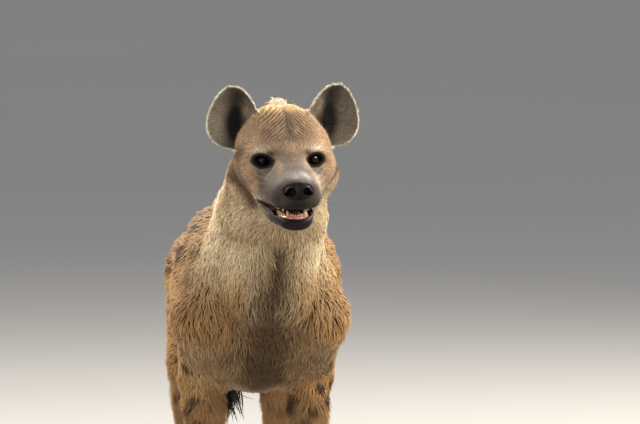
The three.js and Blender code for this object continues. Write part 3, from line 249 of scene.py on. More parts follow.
def group_gap(name, x, y, z):
    d = None
    for s in GROUPS[name]:
        e = cone_gap(s, x, y, z) if s["kind"] else ball_gap(s, x, y, z)
        if d is None:
            d = e
        elif s["sign"] > 0:
            d = smin(d, e, s["blend"])
        else:
            d = -smin(-d, e, s["blend"])
    return d


def turn(axis, degrees):
    a = math.radians(degrees)
    c, s = math.cos(a), math.sin(a)
    i, j = [(1, 2), (2, 0), (0, 1)][axis]
    m = np.eye(3)
    m[i, i] = m[j, j] = c
    m[i, j], m[j, i] = -s, s
    return m


HEAD_TURN = turn(2, -HEAD_YAW) @ turn(0, HEAD_PITCH) @ turn(1, -HEAD_ROLL)
HEAD_AT = np.array([EYE_MID_X, EYE_Y, EYE_Z], float)


def from_head(p):
    return np.asarray(p, float) @ HEAD_TURN.T + HEAD_AT


def to_head(x, y, z):
    m = HEAD_TURN
    dx, dy, dz = x - HEAD_AT[0], y - HEAD_AT[1], z - HEAD_AT[2]
    return (
        m[0, 0] * dx + m[1, 0] * dy + m[2, 0] * dz,
        m[0, 1] * dx + m[1, 1] * dy + m[2, 1] * dz,
        m[0, 2] * dx + m[1, 2] * dy + m[2, 2] * dz,
    )


def ramp(a, b, v):
    t = np.clip((v - a) / (b - a), 0, 1)
    return t * t * (3 - 2 * t)


def mouth_gap(x, y, z):
    back = y - MOUTH_CORNER_Y
    up = z - (MOUTH_CORNER_Z + MOUTH_TOP_SLOPE * -back / 100)
    down = MOUTH_CORNER_Z + MOUTH_LOW_SLOPE * -back / 100 - z
    curve = MOUTH_SMILE * x * x / 2500
    return np.maximum(np.maximum((up - curve) * 0.98, (down + curve) * 0.98), back)


# the eye's own frame on one side of the head: u outward, v up, w out of the face
EYE_TURN = math.radians(14)


def eye_frame(hx, hy, hz):
    dx, dy = np.abs(hx) - EYE_X, hy - EYE_BACK
    c, s = math.cos(EYE_TURN), math.sin(EYE_TURN)
    return dx * c + dy * s, hz - EYE_H, dx * s - dy * c


def lid_opening(u, v):
    """Less than nothing inside the gap between the lids, about in mm. The inner corner is drawn out and a little lower."""
    v = v - 0.10 * u
    a = np.where(u < 0, 14.4, 12.6)
    p = np.where(u < 0, 1.55, 2.0)
    b = np.where(v > 0, 9.4, 9.0)
    return (np.sqrt((np.abs(u) / a) ** p + (v / b) ** 2) - 1) * 8.0


# the ear: a rounded bowl; r runs from 0 in its depth to 1 at its rim
def ear_place(hx, hz):
    """A place on either ear, as on one ear that is turned neither way."""
    a = EAR_TURN * np.sign(hx - EAR_SHIFT)
    x, z = np.abs(hx - EAR_SHIFT) - EAR_X, hz - EAR_Z
    return EAR_X + x * np.cos(a) - z * np.sin(a), EAR_Z + x * np.sin(a) + z * np.cos(a)


def ear_r(ax, hz):
    r = np.full(ax.shape, 0.7)
    ax = ax + EAR_LEAN * (hz - EAR_Z)
    for _ in range(6):
        u = (ax - EAR_X + 0.3 * EAR_HALF_W * (1 - r)) / EAR_HALF_W
        v = (hz - EAR_Z + 0.22 * EAR_HALF_H * (1 - r)) / EAR_HALF_H
        n = np.sqrt(u * u + v * v) + 1e-9
        u = np.abs(u) / (1 - 0.28 * v / n)
        r = np.minimum((u ** 2.27 + np.abs(v) ** 2.27) ** (1 / 2.27), 1.6)
    return r


def ear_front(ax, hz):
    """How far back the ear's inner face lies, and r."""
    r = ear_r(ax, hz)
    return EAR_FACE_Y + EAR_SLANT * (ax - 50) + 0.1 * (hz - EAR_Z) + EAR_CUP * np.maximum(0, 1 - r * r) ** 0.7, r


EAR_REACH = 0.955


def ear_gap(hx, hy, hz):
    ax, hz = ear_place(hx, hz)
    y0, r = ear_front(ax, hz)
    e = 1.5
    gx = (ear_front(ax + e, hz)[0] - ear_front(ax - e, hz)[0]) / (2 * e)
    gz = (ear_front(ax, hz + e)[0] - ear_front(ax, hz - e)[0]) / (2 * e)
    steep = np.sqrt(1 + gx * gx + gz * gz)
    inner = np.maximum(0, 1 - r)
    thick = (4 + 5 * inner) * (1 + 0.34 * gx)
    half = 1.75 + 1.4 * inner
    wall = np.abs(hy - y0 - 0.5 * np.maximum(thick, 2.2)) / steep - half
    return smax(wall, (r - EAR_REACH) * 50, 2.0)


def outline(x, y, z, with_head=True):
    """The outline of the coat, as if it ran on below the floor."""
    d = np.full(x.shape, 1e6)

    def put(mask, f, k):
        i = np.nonzero(mask)[0]
        if len(i):
            d[i] = smin(d[i], f(x[i], y[i], z[i]), k)

    put((z > 300) | (y > 430), lambda a, b, c: group_gap("trunk", a, b, c), 1)
    low = z < 720
    left = x > 0
    front = y < 30
    put(low & front & left, lambda a, b, c: group_gap("leg_front_left", a, b, c), 34)
    put(low & front & ~left, lambda a, b, c: group_gap("leg_front_right", a, b, c), 34)
    put(low & ~front & left, lambda a, b, c: group_gap("leg_hind_left", a, b, c), 34)
    put(low & ~front & ~left, lambda a, b, c: group_gap("leg_hind_right", a, b, c), 34)
    put(y > 380, lambda a, b, c: group_gap("tail", a, b, c), 22)
    if with_head:
        put((y < -330) & (z > 640), head_gap, 24)
    return d


def head_gap(x, y, z):
    hx, hy, hz = to_head(x, y, z)
    d = smin(group_gap("head", hx, hy, hz), group_gap("jaw", hx, hy, hz), 22)
    d = -smin(-d, mouth_gap(hx, hy, hz), 5)
    return -smin(-d, group_gap("mouth", hx, hy, hz), 4)


def coat_depth(x, y, z, hx, hy, hz):
    """How deep the coat is, in mm: from the skin out to the tips."""
    leg = ramp(430, 250, z)
    d = 11.0 + (5.0 - 11.0) * leg
    d = d + (7.5 - d) * ramp(-300, -360, y) * ramp(640, 720, z)
    d = d + (2.2 - d) * ramp(150, 60, z)
    d = d + (0.3 - d) * ramp(14, 3, z)
    tail = ramp(455, 490, y) * ramp(64, 44, np.abs(x)) * ramp(250, 300, z)
    d = d + (14 - d) * tail
    d = d + (7 - d) * tail * ramp(390, 340, z)
    face = 1.5 + 2.6 * ramp(10, 90, hy) + 2.5 * ramp(40, 85, hz)
    face = face + (1.0 - face) * ramp(-58, -72, hz) * ramp(60, 20, hy)
    face = face + (1.0 - face) * ramp(-80, -110, hy)
    u, v, w = eye_frame(hx, hy, hz)
    near = ramp(26, 15, np.sqrt(u * u + v * v)) * ramp(-12, -2, w)
    face = face + (0.75 - face) * near
    inhead = ramp(168, 100, hy) * ramp(-175, -125, hz) * (hy < 200)
    return d + (face - d) * inhead


def nose_pad(hx, hy, hz):
    return group_gap("nose", hx, hy, hz)


def nostrils(hx, hy, hz):
    """The nostrils: round holes with a slit that runs out and down."""
    ax = np.abs(hx)
    a = ball_gap(dict(c=[14.2, -126, -53.5], r=[7.6, 12, 7.2], tilt=0.25), ax, hy, hz)
    b = ball_gap(dict(c=[20.5, -119, -57.5], r=[6.0, 10, 2.8], tilt=0.0), ax, hy, hz)
    return smin(a, b, 5)


def skin_gap(x, y, z):
    hx, hy, hz = to_head(x, y, z)
    d = outline(x, y, z) + coat_depth(x, y, z, hx, hy, hz)
    d = np.maximum(d, -z)
    i = np.nonzero((hy < 175) & (hy > -140) & (hz > -140) & (hz < 145) & (np.abs(hx) < 165))[0]
    if not len(i):
        return d
    X, Y, Z, e = hx[i], hy[i], hz[i], d[i]
    # ears
    j = np.nonzero((np.abs(X) > 40) & (Y > 20) & (Z > 0))[0]
    if len(j):
        e[j] = smin(e[j], ear_gap(X[j], Y[j], Z[j]), 9)
    # lids over the eyeball, with a rounded rim and a fold above
    u, v, w = eye_frame(X, Y, Z)
    j = np.nonzero((w > -16) & (u * u + v * v < 34 * 34) & (np.abs(X) > 8) & (w < 40))[0]
    if len(j):
        U, V, W, g = u[j], v[j], w[j], e[j]
        ballr = np.sqrt(U * U + V * V + W * W)
        o = lid_opening(U, V)
        lid = smax(ballr - (EYE_R + 2.6), -W + 1, 3)
        g = smin(g, lid, 4.5)
        fold = 0.9 * np.exp(-(((o - 5.2) / 1.3) ** 2)) * ramp(-2, 3, V) - 0.5 * np.exp(-(((o - 2.6) / 1.6) ** 2))
        fold = fold + 0.7 * np.exp(-(((o - 5.6) / 1.4) ** 2)) * ramp(-1, -4, V)
        g = g + fold * ramp(0, 5, W)
        g = smax(g, -np.maximum(o, -W + 2), 1.6)
        g = np.maximum(g, EYE_R + 0.25 - ballr)
        e[j] = g
    # the muzzle: nose pad's bed, nostrils, the groove under the nose, folds beside the nose
    j = np.nonzero((Y < -40) & (Z > -125) & (Z < 0))[0]
    if len(j):
        A, B, C, g = X[j], Y[j], Z[j], e[j]
        g = smax(g, -(nose_pad(A, B, C) + 2.2), 1.5)
        g = np.maximum(g, -nostrils(A, B, C))
        groove = np.exp(-((A / 1.3) ** 2)) * ramp(-95, -110, B) * ramp(-62, -68, C) * ramp(-84, -76, C)
        g = g + 1.4 * groove
        e[j] = g
    d[i] = e
    return d


def nose_gap(x, y, z):
    hx, hy, hz = to_head(x, y, z)
    d = smin(group_gap("head", hx, hy, hz), group_gap("jaw", hx, hy, hz), 22)
    d = smax(d - 0.2, nose_pad(hx, hy, hz) - 0.5, 5.0)
    # raised wings round the nostrils, the groove between them
    n = nostrils(hx, hy, hz)
    d = d - 1.1 * np.exp(-(((n - 1.5) / 1.9) ** 2))
    d = d + 1.5 * np.exp(-((hx / 1.2) ** 2)) * ramp(-46, -60, hz)
    d = d + 0.6 * np.exp(-((hx / 4.0) ** 2)) * ramp(-60, -46, hz)
    return smax(d, -n, 1.4)


def spread_over(f, p, size=24576):
    """f at each row of p, on all cores."""
    parts = [p[i : i + size] for i in range(0, len(p), size)]
    return np.concatenate(list(POOL.map(lambda q: f(q[:, 0], q[:, 1], q[:, 2]), parts)))


def slope(f, p, e=0.12):
    g = np.empty_like(p)
    for k in range(3):
        q = p.copy()
        q[:, k] += e
        a = spread_over(f, q)
        q[:, k] -= 2 * e
        g[:, k] = (a - spread_over(f, q)) / (2 * e)
    return g


# ---------------------------------------------------------------- a surface drawn round a shape
def nets(f, lo, hi, h, slack=1.9, c=4):
    """The surface f = 0 as a mesh of four-sided faces about h wide, one point in each cell that it crosses."""
    lo, hi = np.array(lo, float), np.array(hi, float)
    m = np.ceil((hi - lo) / (h * c)).astype(int) + 1
    n = (m - 1) * c + 1
    axes = [lo[k] + np.arange(m[k]) * h * c for k in range(3)]
    coarse = spread_over(f, np.stack(np.meshgrid(*axes, indexing="ij"), -1).reshape(-1, 3)).reshape(m)
    near = np.abs(coarse) < h * c * slack
    for k in range(3):
        w = np.swapaxes(near, 0, k).copy()
        w[1:] |= np.swapaxes(near, 0, k)[:-1]
        w[:-1] |= np.swapaxes(near, 0, k)[1:]
        near = np.swapaxes(w, 0, k)

    def up(a):
        for k in range(3):
            a = np.repeat(a, c, k)
        return a[: n[0], : n[1], : n[2]]

    val = np.where(up(coarse) > 0, 1e3, -1e3)
    idx = np.argwhere(up(near))
    val[tuple(idx.T)] = spread_over(f, lo + idx * h)
    val[np.abs(val) < 1e-5] = 1e-5
    for k in range(3):
        w = np.swapaxes(val, 0, k)
        w[0] = np.maximum(w[0], h)
        w[-1] = np.maximum(w[-1], h)
    ins = val < 0
    count = np.zeros(n - 1, np.int8)
    for a in (0, 1):
        for b in (0, 1):
            for g in (0, 1):
                count += ins[a : n[0] - 1 + a, b : n[1] - 1 + b, g : n[2] - 1 + g]
    cell = np.argwhere((count > 0) & (count < 8))
    number = np.full(n - 1, -1, np.int32)
    number[tuple(cell.T)] = np.arange(len(cell))
    corner = {(a, b, g): val[cell[:, 0] + a, cell[:, 1] + b, cell[:, 2] + g] for a in (0, 1) for b in (0, 1) for g in (0, 1)}
    total = np.zeros((len(cell), 3))
    hits = np.zeros(len(cell))
    for k in range(3):
        for key, va in corner.items():
            if key[k]:
                continue
            other = list(key)
            other[k] = 1
            vb = corner[tuple(other)]
            w = (va < 0) != (vb < 0)
            t = np.where(w, va / np.where(w, va - vb, 1), 0)
            for q in range(3):
                total[:, q] += w * (t if q == k else key[q])
            hits += w
    verts = lo + (cell + total / hits[:, None]) * h
    quads = []
    for k in range(3):
        a, b = [(1, 2), (2, 0), (0, 1)][k]
        w = np.moveaxis(ins, (k, a, b), (0, 1, 2))
        num = np.moveaxis(number, (k, a, b), (0, 1, 2))
        cross = np.argwhere(w[:-1, 1:-1, 1:-1] != w[1:, 1:-1, 1:-1])
        i, j, l = cross[:, 0], cross[:, 1] + 1, cross[:, 2] + 1
        q = np.stack([num[i, j - 1, l - 1], num[i, j, l - 1], num[i, j, l], num[i, j - 1, l]], 1)
        flip = ~w[i, j, l]
        q[flip] = q[flip][:, ::-1]
        quads.append(q)
    return verts, np.concatenate(quads)


def settle(f, p, steps=2, most=1.0):
    """Moves points onto f = 0."""
    p = p.copy()
    for _ in range(steps):
        v = spread_over(f, p)
        g = slope(f, p)
        d = -g * (v / np.maximum((g * g).sum(1), 0.2))[:, None]
        l = np.sqrt((d * d).sum(1))
        p += d * (np.minimum(l, most) / np.maximum(l, 1e-9))[:, None]
    return p


def edges_of(faces):
    n = faces.shape[1]
    e = np.concatenate([faces[:, [k, (k + 1) % n]] for k in range(n)])
    return e


def even_out(p, tris, amount, fixed=None):
    """One step of smoothing along the surface."""
    e = edges_of(tris)
    s = np.zeros_like(p)
    for k in range(3):
        s[:, k] = np.bincount(e[:, 0], p[e[:, 1], k], len(p)) + np.bincount(e[:, 1], p[e[:, 0], k], len(p))
    c = np.bincount(e[:, 0], minlength=len(p)) + np.bincount(e[:, 1], minlength=len(p))
    q = p + amount * (s / np.maximum(c, 1)[:, None] - p)
    if fixed is not None:
        q[fixed] = p[fixed]
    return q


def face_normals(p, tris):
    return np.cross(p[tris[:, 1]] - p[tris[:, 0]], p[tris[:, 2]] - p[tris[:, 0]])


def point_normals(p, tris):
    n = face_normals(p, tris)
    s = np.zeros_like(p)
    for c in range(3):
        for k in range(3):
            s[:, k] += np.bincount(tris[:, c], n[:, k], len(p))
    return s / np.maximum(np.linalg.norm(s, axis=1, keepdims=True), 1e-12)


def biggest_piece(p, tris):
    """Drops loose bits."""
    lab = np.arange(len(p))
    e = edges_of(tris)
    for _ in range(200):
        m = np.minimum(lab[e[:, 0]], lab[e[:, 1]])
        new = lab.copy()
        np.minimum.at(new, e[:, 0], m)
        np.minimum.at(new, e[:, 1], m)
        new = new[new]
        new = new[new]
        if (new == lab).all():
            break
        lab = new
    best = np.bincount(lab).argmax()
    keep = lab == best
    number = np.cumsum(keep) - 1
    t = tris[keep[tris].all(1)]
    return p[keep], number[t]


def mesh_from(name, verts, faces, smooth=True):
    """A mesh object from points in metres and one or more arrays of faces."""
    faces = [np.asarray(f) for f in (faces if isinstance(faces, list) else [faces]) if len(f)]
    me = bpy.data.meshes.new(name)
    me.vertices.add(len(verts))
    me.vertices.foreach_set("co", np.asarray(verts, np.float32).ravel())
    total = sum(f.size for f in faces)
    me.loops.add(total)
    me.loops.foreach_set("vertex_index", np.concatenate([f.ravel() for f in faces]).astype(np.int32))
    starts, at = [], 0
    for f in faces:
        starts.append(at + np.arange(len(f)) * f.shape[1])
        at += f.size
    starts = np.concatenate(starts).astype(np.int32)
    me.polygons.add(len(starts))
    me.polygons.foreach_set("loop_start", starts)
    me.update(calc_edges=True)
    me.polygons.foreach_set("use_smooth", np.full(len(starts), smooth))
    ob = bpy.data.objects.new(name, me)
    bpy.context.scene.collection.objects.link(ob)
    return ob


def tri_arrays(me):
    me.calc_loop_triangles()
    t = np.empty(len(me.loop_triangles) * 3, np.int32)
    me.loop_triangles.foreach_get("vertices", t)
    p = np.empty(len(me.vertices) * 3, np.float32)
    me.vertices.foreach_get("co", p)
    return p.reshape(-1, 3).astype(float), t.reshape(-1, 3)


def tris_of(quads):
    return np.concatenate([quads[:, [0, 1, 2]], quads[:, [0, 2, 3]]])


# ---------------------------------------------------------------- the skin, one piece from nose to tail
SEAM_POINT, SEAM_NORMAL = (0.0, -490.0, 775.0), (0.0, -0.911, 0.412)


def one_side(verts, quads, point, normal):
    """What lies on the side that the normal points to, as triangles."""
    ob = mesh_from("half", verts, quads)
    bm = bmesh.new()
    bm.from_mesh(ob.data)
    every = bm.verts[:] + bm.edges[:] + bm.faces[:]
    bmesh.ops.bisect_plane(bm, geom=every, dist=0.02, plane_co=point, plane_no=normal, clear_inner=True)
    bmesh.ops.triangulate(bm, faces=bm.faces[:])
    bm.to_mesh(ob.data)
    bm.free()
    p, t = tri_arrays(ob.data)
    me = ob.data
    bpy.data.objects.remove(ob)
    bpy.data.meshes.remove(me)
    return biggest_piece(p, t)


def rim_of(tris, p):
    """The longest open edge, in the faces' own direction."""
    e = edges_of(tris)
    there = set(map(tuple, e.tolist()))
    after = {a: b for a, b in there if (b, a) not in there}
    loops, seen = [], set()
    for a in after:
        loop = []
        while a not in seen and a in after:
            seen.add(a)
            loop.append(a)
            a = after[a]
        if len(loop) > 2:
            loops.append(loop)
    return max(loops, key=lambda l: np.linalg.norm(p[l] - p[np.roll(l, 1)], axis=1).sum())


def zipped(pa, ta, pb, tb):
    """Joins two skins along their open edges with one strip of triangles."""
    a = rim_of(ta, pa)[::-1]
    b = rim_of(tb, pb)
    off = len(pa)
    start = int(np.argmin(np.linalg.norm(pb[b] - pa[a[0]], axis=1)))
    b = b[start:] + b[:start]
    A, B = pa[a + a[:1]], pb[b + b[:1]]
    i = j = 0
    strip = []
    while i < len(a) or j < len(b):
        step_a = j >= len(b) or (i < len(a) and np.linalg.norm(A[i + 1] - B[j]) < np.linalg.norm(A[i] - B[j + 1]))
        ai, bj = a[i % len(a)], b[j % len(b)] + off
        if step_a:
            strip.append((ai, a[(i + 1) % len(a)], bj))
            i += 1
        else:
            strip.append((b[(j + 1) % len(b)] + off, bj, ai))
            j += 1
    return np.concatenate([pa, pb]), np.concatenate([ta, tb + off, np.array(strip)])


def finer(p, tris, zone):
    """Halves the edges whose two ends lie in the zone."""
    ob = mesh_from("finer", p, tris)
    bm = bmesh.new()
    bm.from_mesh(ob.data)
    bm.verts.ensure_lookup_table()
    inside = zone.tolist()
    cut = [e for e in bm.edges if inside[e.verts[0].index] and inside[e.verts[1].index]]
    bmesh.ops.subdivide_edges(bm, edges=cut, cuts=1, use_grid_fill=True)
    bmesh.ops.triangulate(bm, faces=bm.faces[:])
    bm.to_mesh(ob.data)
    bm.free()
    p, t = tri_arrays(ob.data)
    me = ob.data
    bpy.data.objects.remove(ob)
    bpy.data.meshes.remove(me)
    return p, t


BODY_STEP, HEAD_STEP = 7.8, 2.6
bv, bq = nets(skin_gap, [-200, -640, -8], [200, 560, 1010], BODY_STEP)
bp, bt = one_side(bv, bq, SEAM_POINT, tuple(-c for c in SEAM_NORMAL))
hv, hq = nets(skin_gap, [-124, -702, 660], [198, -372, 1050], HEAD_STEP, slack=2.2)
ahead = tuple(a + 4 * n for a, n in zip(SEAM_POINT, SEAM_NORMAL))
hp, ht = one_side(hv, hq, ahead, SEAM_NORMAL)
print("body", len(bt), "head", len(ht))
P, T = zipped(bp, bt, hp, ht)

for _ in range(2):
    P = even_out(P, T, 0.5)
    P = settle(skin_gap, P, 1, 1.5)
HX, HY, HZ = to_head(*P.T)
u_, v_, w_ = eye_frame(HX, HY, HZ)
zone = (u_ * u_ + v_ * v_ < 21 * 21) & (w_ > -4) & (w_ < 40)
zone |= (np.abs(mouth_gap(HX, HY, HZ)) < 7) & (HY < 38) & (np.abs(HX) < 52) & (HZ > -135) & (HZ < -55)
zone |= (nose_pad(HX, HY, HZ) < 5) & (HY < -60)
zone |= (P[:, 2] < 84) & (P[:, 2] > 0.5)
P, T = finer(P, T, zone)
P = settle(skin_gap, P, 1, 1.2)
P = even_out(P, T, 0.35)
P = settle(skin_gap, P, 2, 0.8)
P[:, 2] = np.maximum(P[:, 2], 0.0)
HX, HY, HZ = to_head(*P.T)
NORMAL = point_normals(P, T)
print("skin", len(P), "points", len(T), "triangles")


# ---------------------------------------------------------------- noise, spots and colours
def hashed(i, j, k, seed):
    """Numbers from 0 to 1 that depend on three whole numbers."""
    with np.errstate(over="ignore"):
        h = (i.astype(np.uint32) * np.uint32(374761393)) ^ (j.astype(np.uint32) * np.uint32(668265263))
        h = (h ^ (k.astype(np.uint32) * np.uint32(2246822519))) + np.uint32(seed * 3266489917 % (1 << 32))
        h = (h ^ (h >> np.uint32(15))) * np.uint32(2246822519)
        h = (h ^ (h >> np.uint32(13))) * np.uint32(3266489917)
        h ^= h >> np.uint32(16)
    return h.astype(np.float64) / 4294967296.0


def noise(p, size, seed=1):
    """Smooth noise from -1 to 1 with lumps about size across."""
    q = p / size
    i = np.floor(q).astype(np.int64)
    f = q - i
    f = f * f * (3 - 2 * f)
    i = i & 0xFFFFFFFF
    total = 0
    for a in (0, 1):
        for b in (0, 1):
            for c in (0, 1):
                w = (f[:, 0] if a else 1 - f[:, 0]) * (f[:, 1] if b else 1 - f[:, 1]) * (f[:, 2] if c else 1 - f[:, 2])
                total = total + w * hashed(i[:, 0] + a, i[:, 1] + b, i[:, 2] + c, seed)
    return total * 2 - 1


def spots(p):
    """How much of a dark spot lies at each point, from 0 to 1: round blotches of uneven size, scattered."""
    q = p + 7.0 * np.stack([noise(p, 26.0, s) for s in (11, 12, 13)], 1)
    cell = 43.0
    i = np.floor(q / cell).astype(np.int64)
    best = np.full(len(p), 9.0)
    for a in (-1, 0, 1):
        for b in (-1, 0, 1):
            for c in (-1, 0, 1):
                j = [(i[:, 0] + a) & 0xFFFFFFFF, (i[:, 1] + b) & 0xFFFFFFFF, (i[:, 2] + c) & 0xFFFFFFFF]
                at = np.stack([(i[:, k] + (a, b, c)[k] + 0.15 + 0.7 * hashed(*j, 21 + k)) * cell for k in range(3)], 1)
                size = 11.0 + 11.0 * hashed(*j, 31) ** 1.2
                there = hashed(*j, 32) < 0.92
                d = np.sqrt(((q - at) ** 2 * np.array([1.0, 0.8, 1.15])).sum(1)) / size
                best = np.where(there, np.minimum(best, d), best)
    return ramp(1.12, 0.62, best)


def rgb(r, g, b):
    c = np.array([r, g, b], float) / 255
    return np.where(c <= 0.04045, c / 12.92, ((c + 0.055) / 1.055) ** 2.4)


def toward(c, other, w):
    return c + (np.asarray(other) - c) * np.clip(w, 0, 1)[:, None]


def bump_at(x, y, z, c, r):
    """1 at a place, fading to nothing over r."""
    return np.exp(-(((x - c[0]) / r[0]) ** 2 + ((y - c[1]) / r[1]) ** 2 + ((z - c[2]) / r[2]) ** 2))


def regions(p, n):
    """Where points lie: shares from 0 to 1 for the head, an ear and so on."""
    x, y, z = p.T
    hx, hy, hz = to_head(x, y, z)
    ax = np.abs(hx)
    r = dict(hx=hx, hy=hy, hz=hz, ax=ax)
    r["head"] = ramp(172, 112, hy) * ramp(-175, -125, hz) * (hy < 220)
    ear = np.zeros(len(p))
    rr = np.full(len(p), 1.6)
    inner = np.zeros(len(p))
    j = np.nonzero((ax > 40) & (ax < 165) & (hy > 30) & (hy < 175) & (hz > 0) & (hz < 150))[0]
    if len(j):
        e = ear_gap(hx[j], hy[j], hz[j])
        y0, q = ear_front(*ear_place(hx[j], hz[j]))
        g = ramp(7, 1.2, e)
        ear[j] = g
        rr[j] = q
        # the inner face looks forward
        nh = n[j] @ HEAD_TURN
        thick = (4 + 5 * np.maximum(0, 1 - q))
        inner[j] = np.where(hy[j] < y0 + 0.5 * thick, 1.0, 0.0) * (q < 1.06)
        inner[j] = np.where(q > 0.9, ramp(0.35, -0.35, nh[:, 1]), inner[j])
    r["ear"], r["ear_r"], r["ear_in"] = ear, rr, inner
    r["ex"], r["ez"] = ear_place(hx, hz)
    r["tail"] = ramp(440, 478, y) * ramp(60, 42, np.abs(x)) * ramp(600, 560, z) * (z > 300)
    r["leg"] = ramp(430, 290, z) * (1 - r["tail"]) * (1 - r["head"])
    r["paw"] = ramp(110, 62, z)
    r["neck"] = ramp(-250, -350, y) * ramp(600, 700, z) * (1 - r["head"])
    u, v, w = eye_frame(hx, hy, hz)
    r["eye"] = np.where((w > -14) & (ax > 8), np.sqrt(u * u + v * v), 99.0)
    r["lid"] = np.where((w > -2) & (ax > 8), lid_opening(u, v), 99.0)
    r["mouth"] = np.where((hy < 45) & (ax < 60), mouth_gap(hx, hy, hz), 99.0)
    # how far inside the lips a place on the mouth's walls lies
    k = np.nonzero(r["mouth"] < 3.5)[0]
    deep = np.zeros(len(p))
    if len(k):
        deep[k] = smin(group_gap("head", hx[k], hy[k], hz[k]), group_gap("jaw", hx[k], hy[k], hz[k]), 22)
    r["deep"] = ramp(-4.5, -9.0, deep)
    r["room"] = np.where((hy < 60) & (ax < 60) & (hz < -40), group_gap("mouth", hx, hy, hz), 99.0)
    r["nose"] = np.where(hy < -60, nose_pad(hx, hy, hz), 99.0)
    return r


TAN, GINGER, DARK = rgb(170, 132, 86), rgb(170, 118, 67), rgb(50, 34, 23)
BLACK = rgb(20, 17, 15)


def streaks(p, d, across, along, seed):
    """Noise from -1 to 1 that is drawn out along the way d, as parted hair is."""
    w = (p * d).sum(1)
    return noise(p / across - d * (w * (1 / across - 1 / along))[:, None], 1.0, seed)


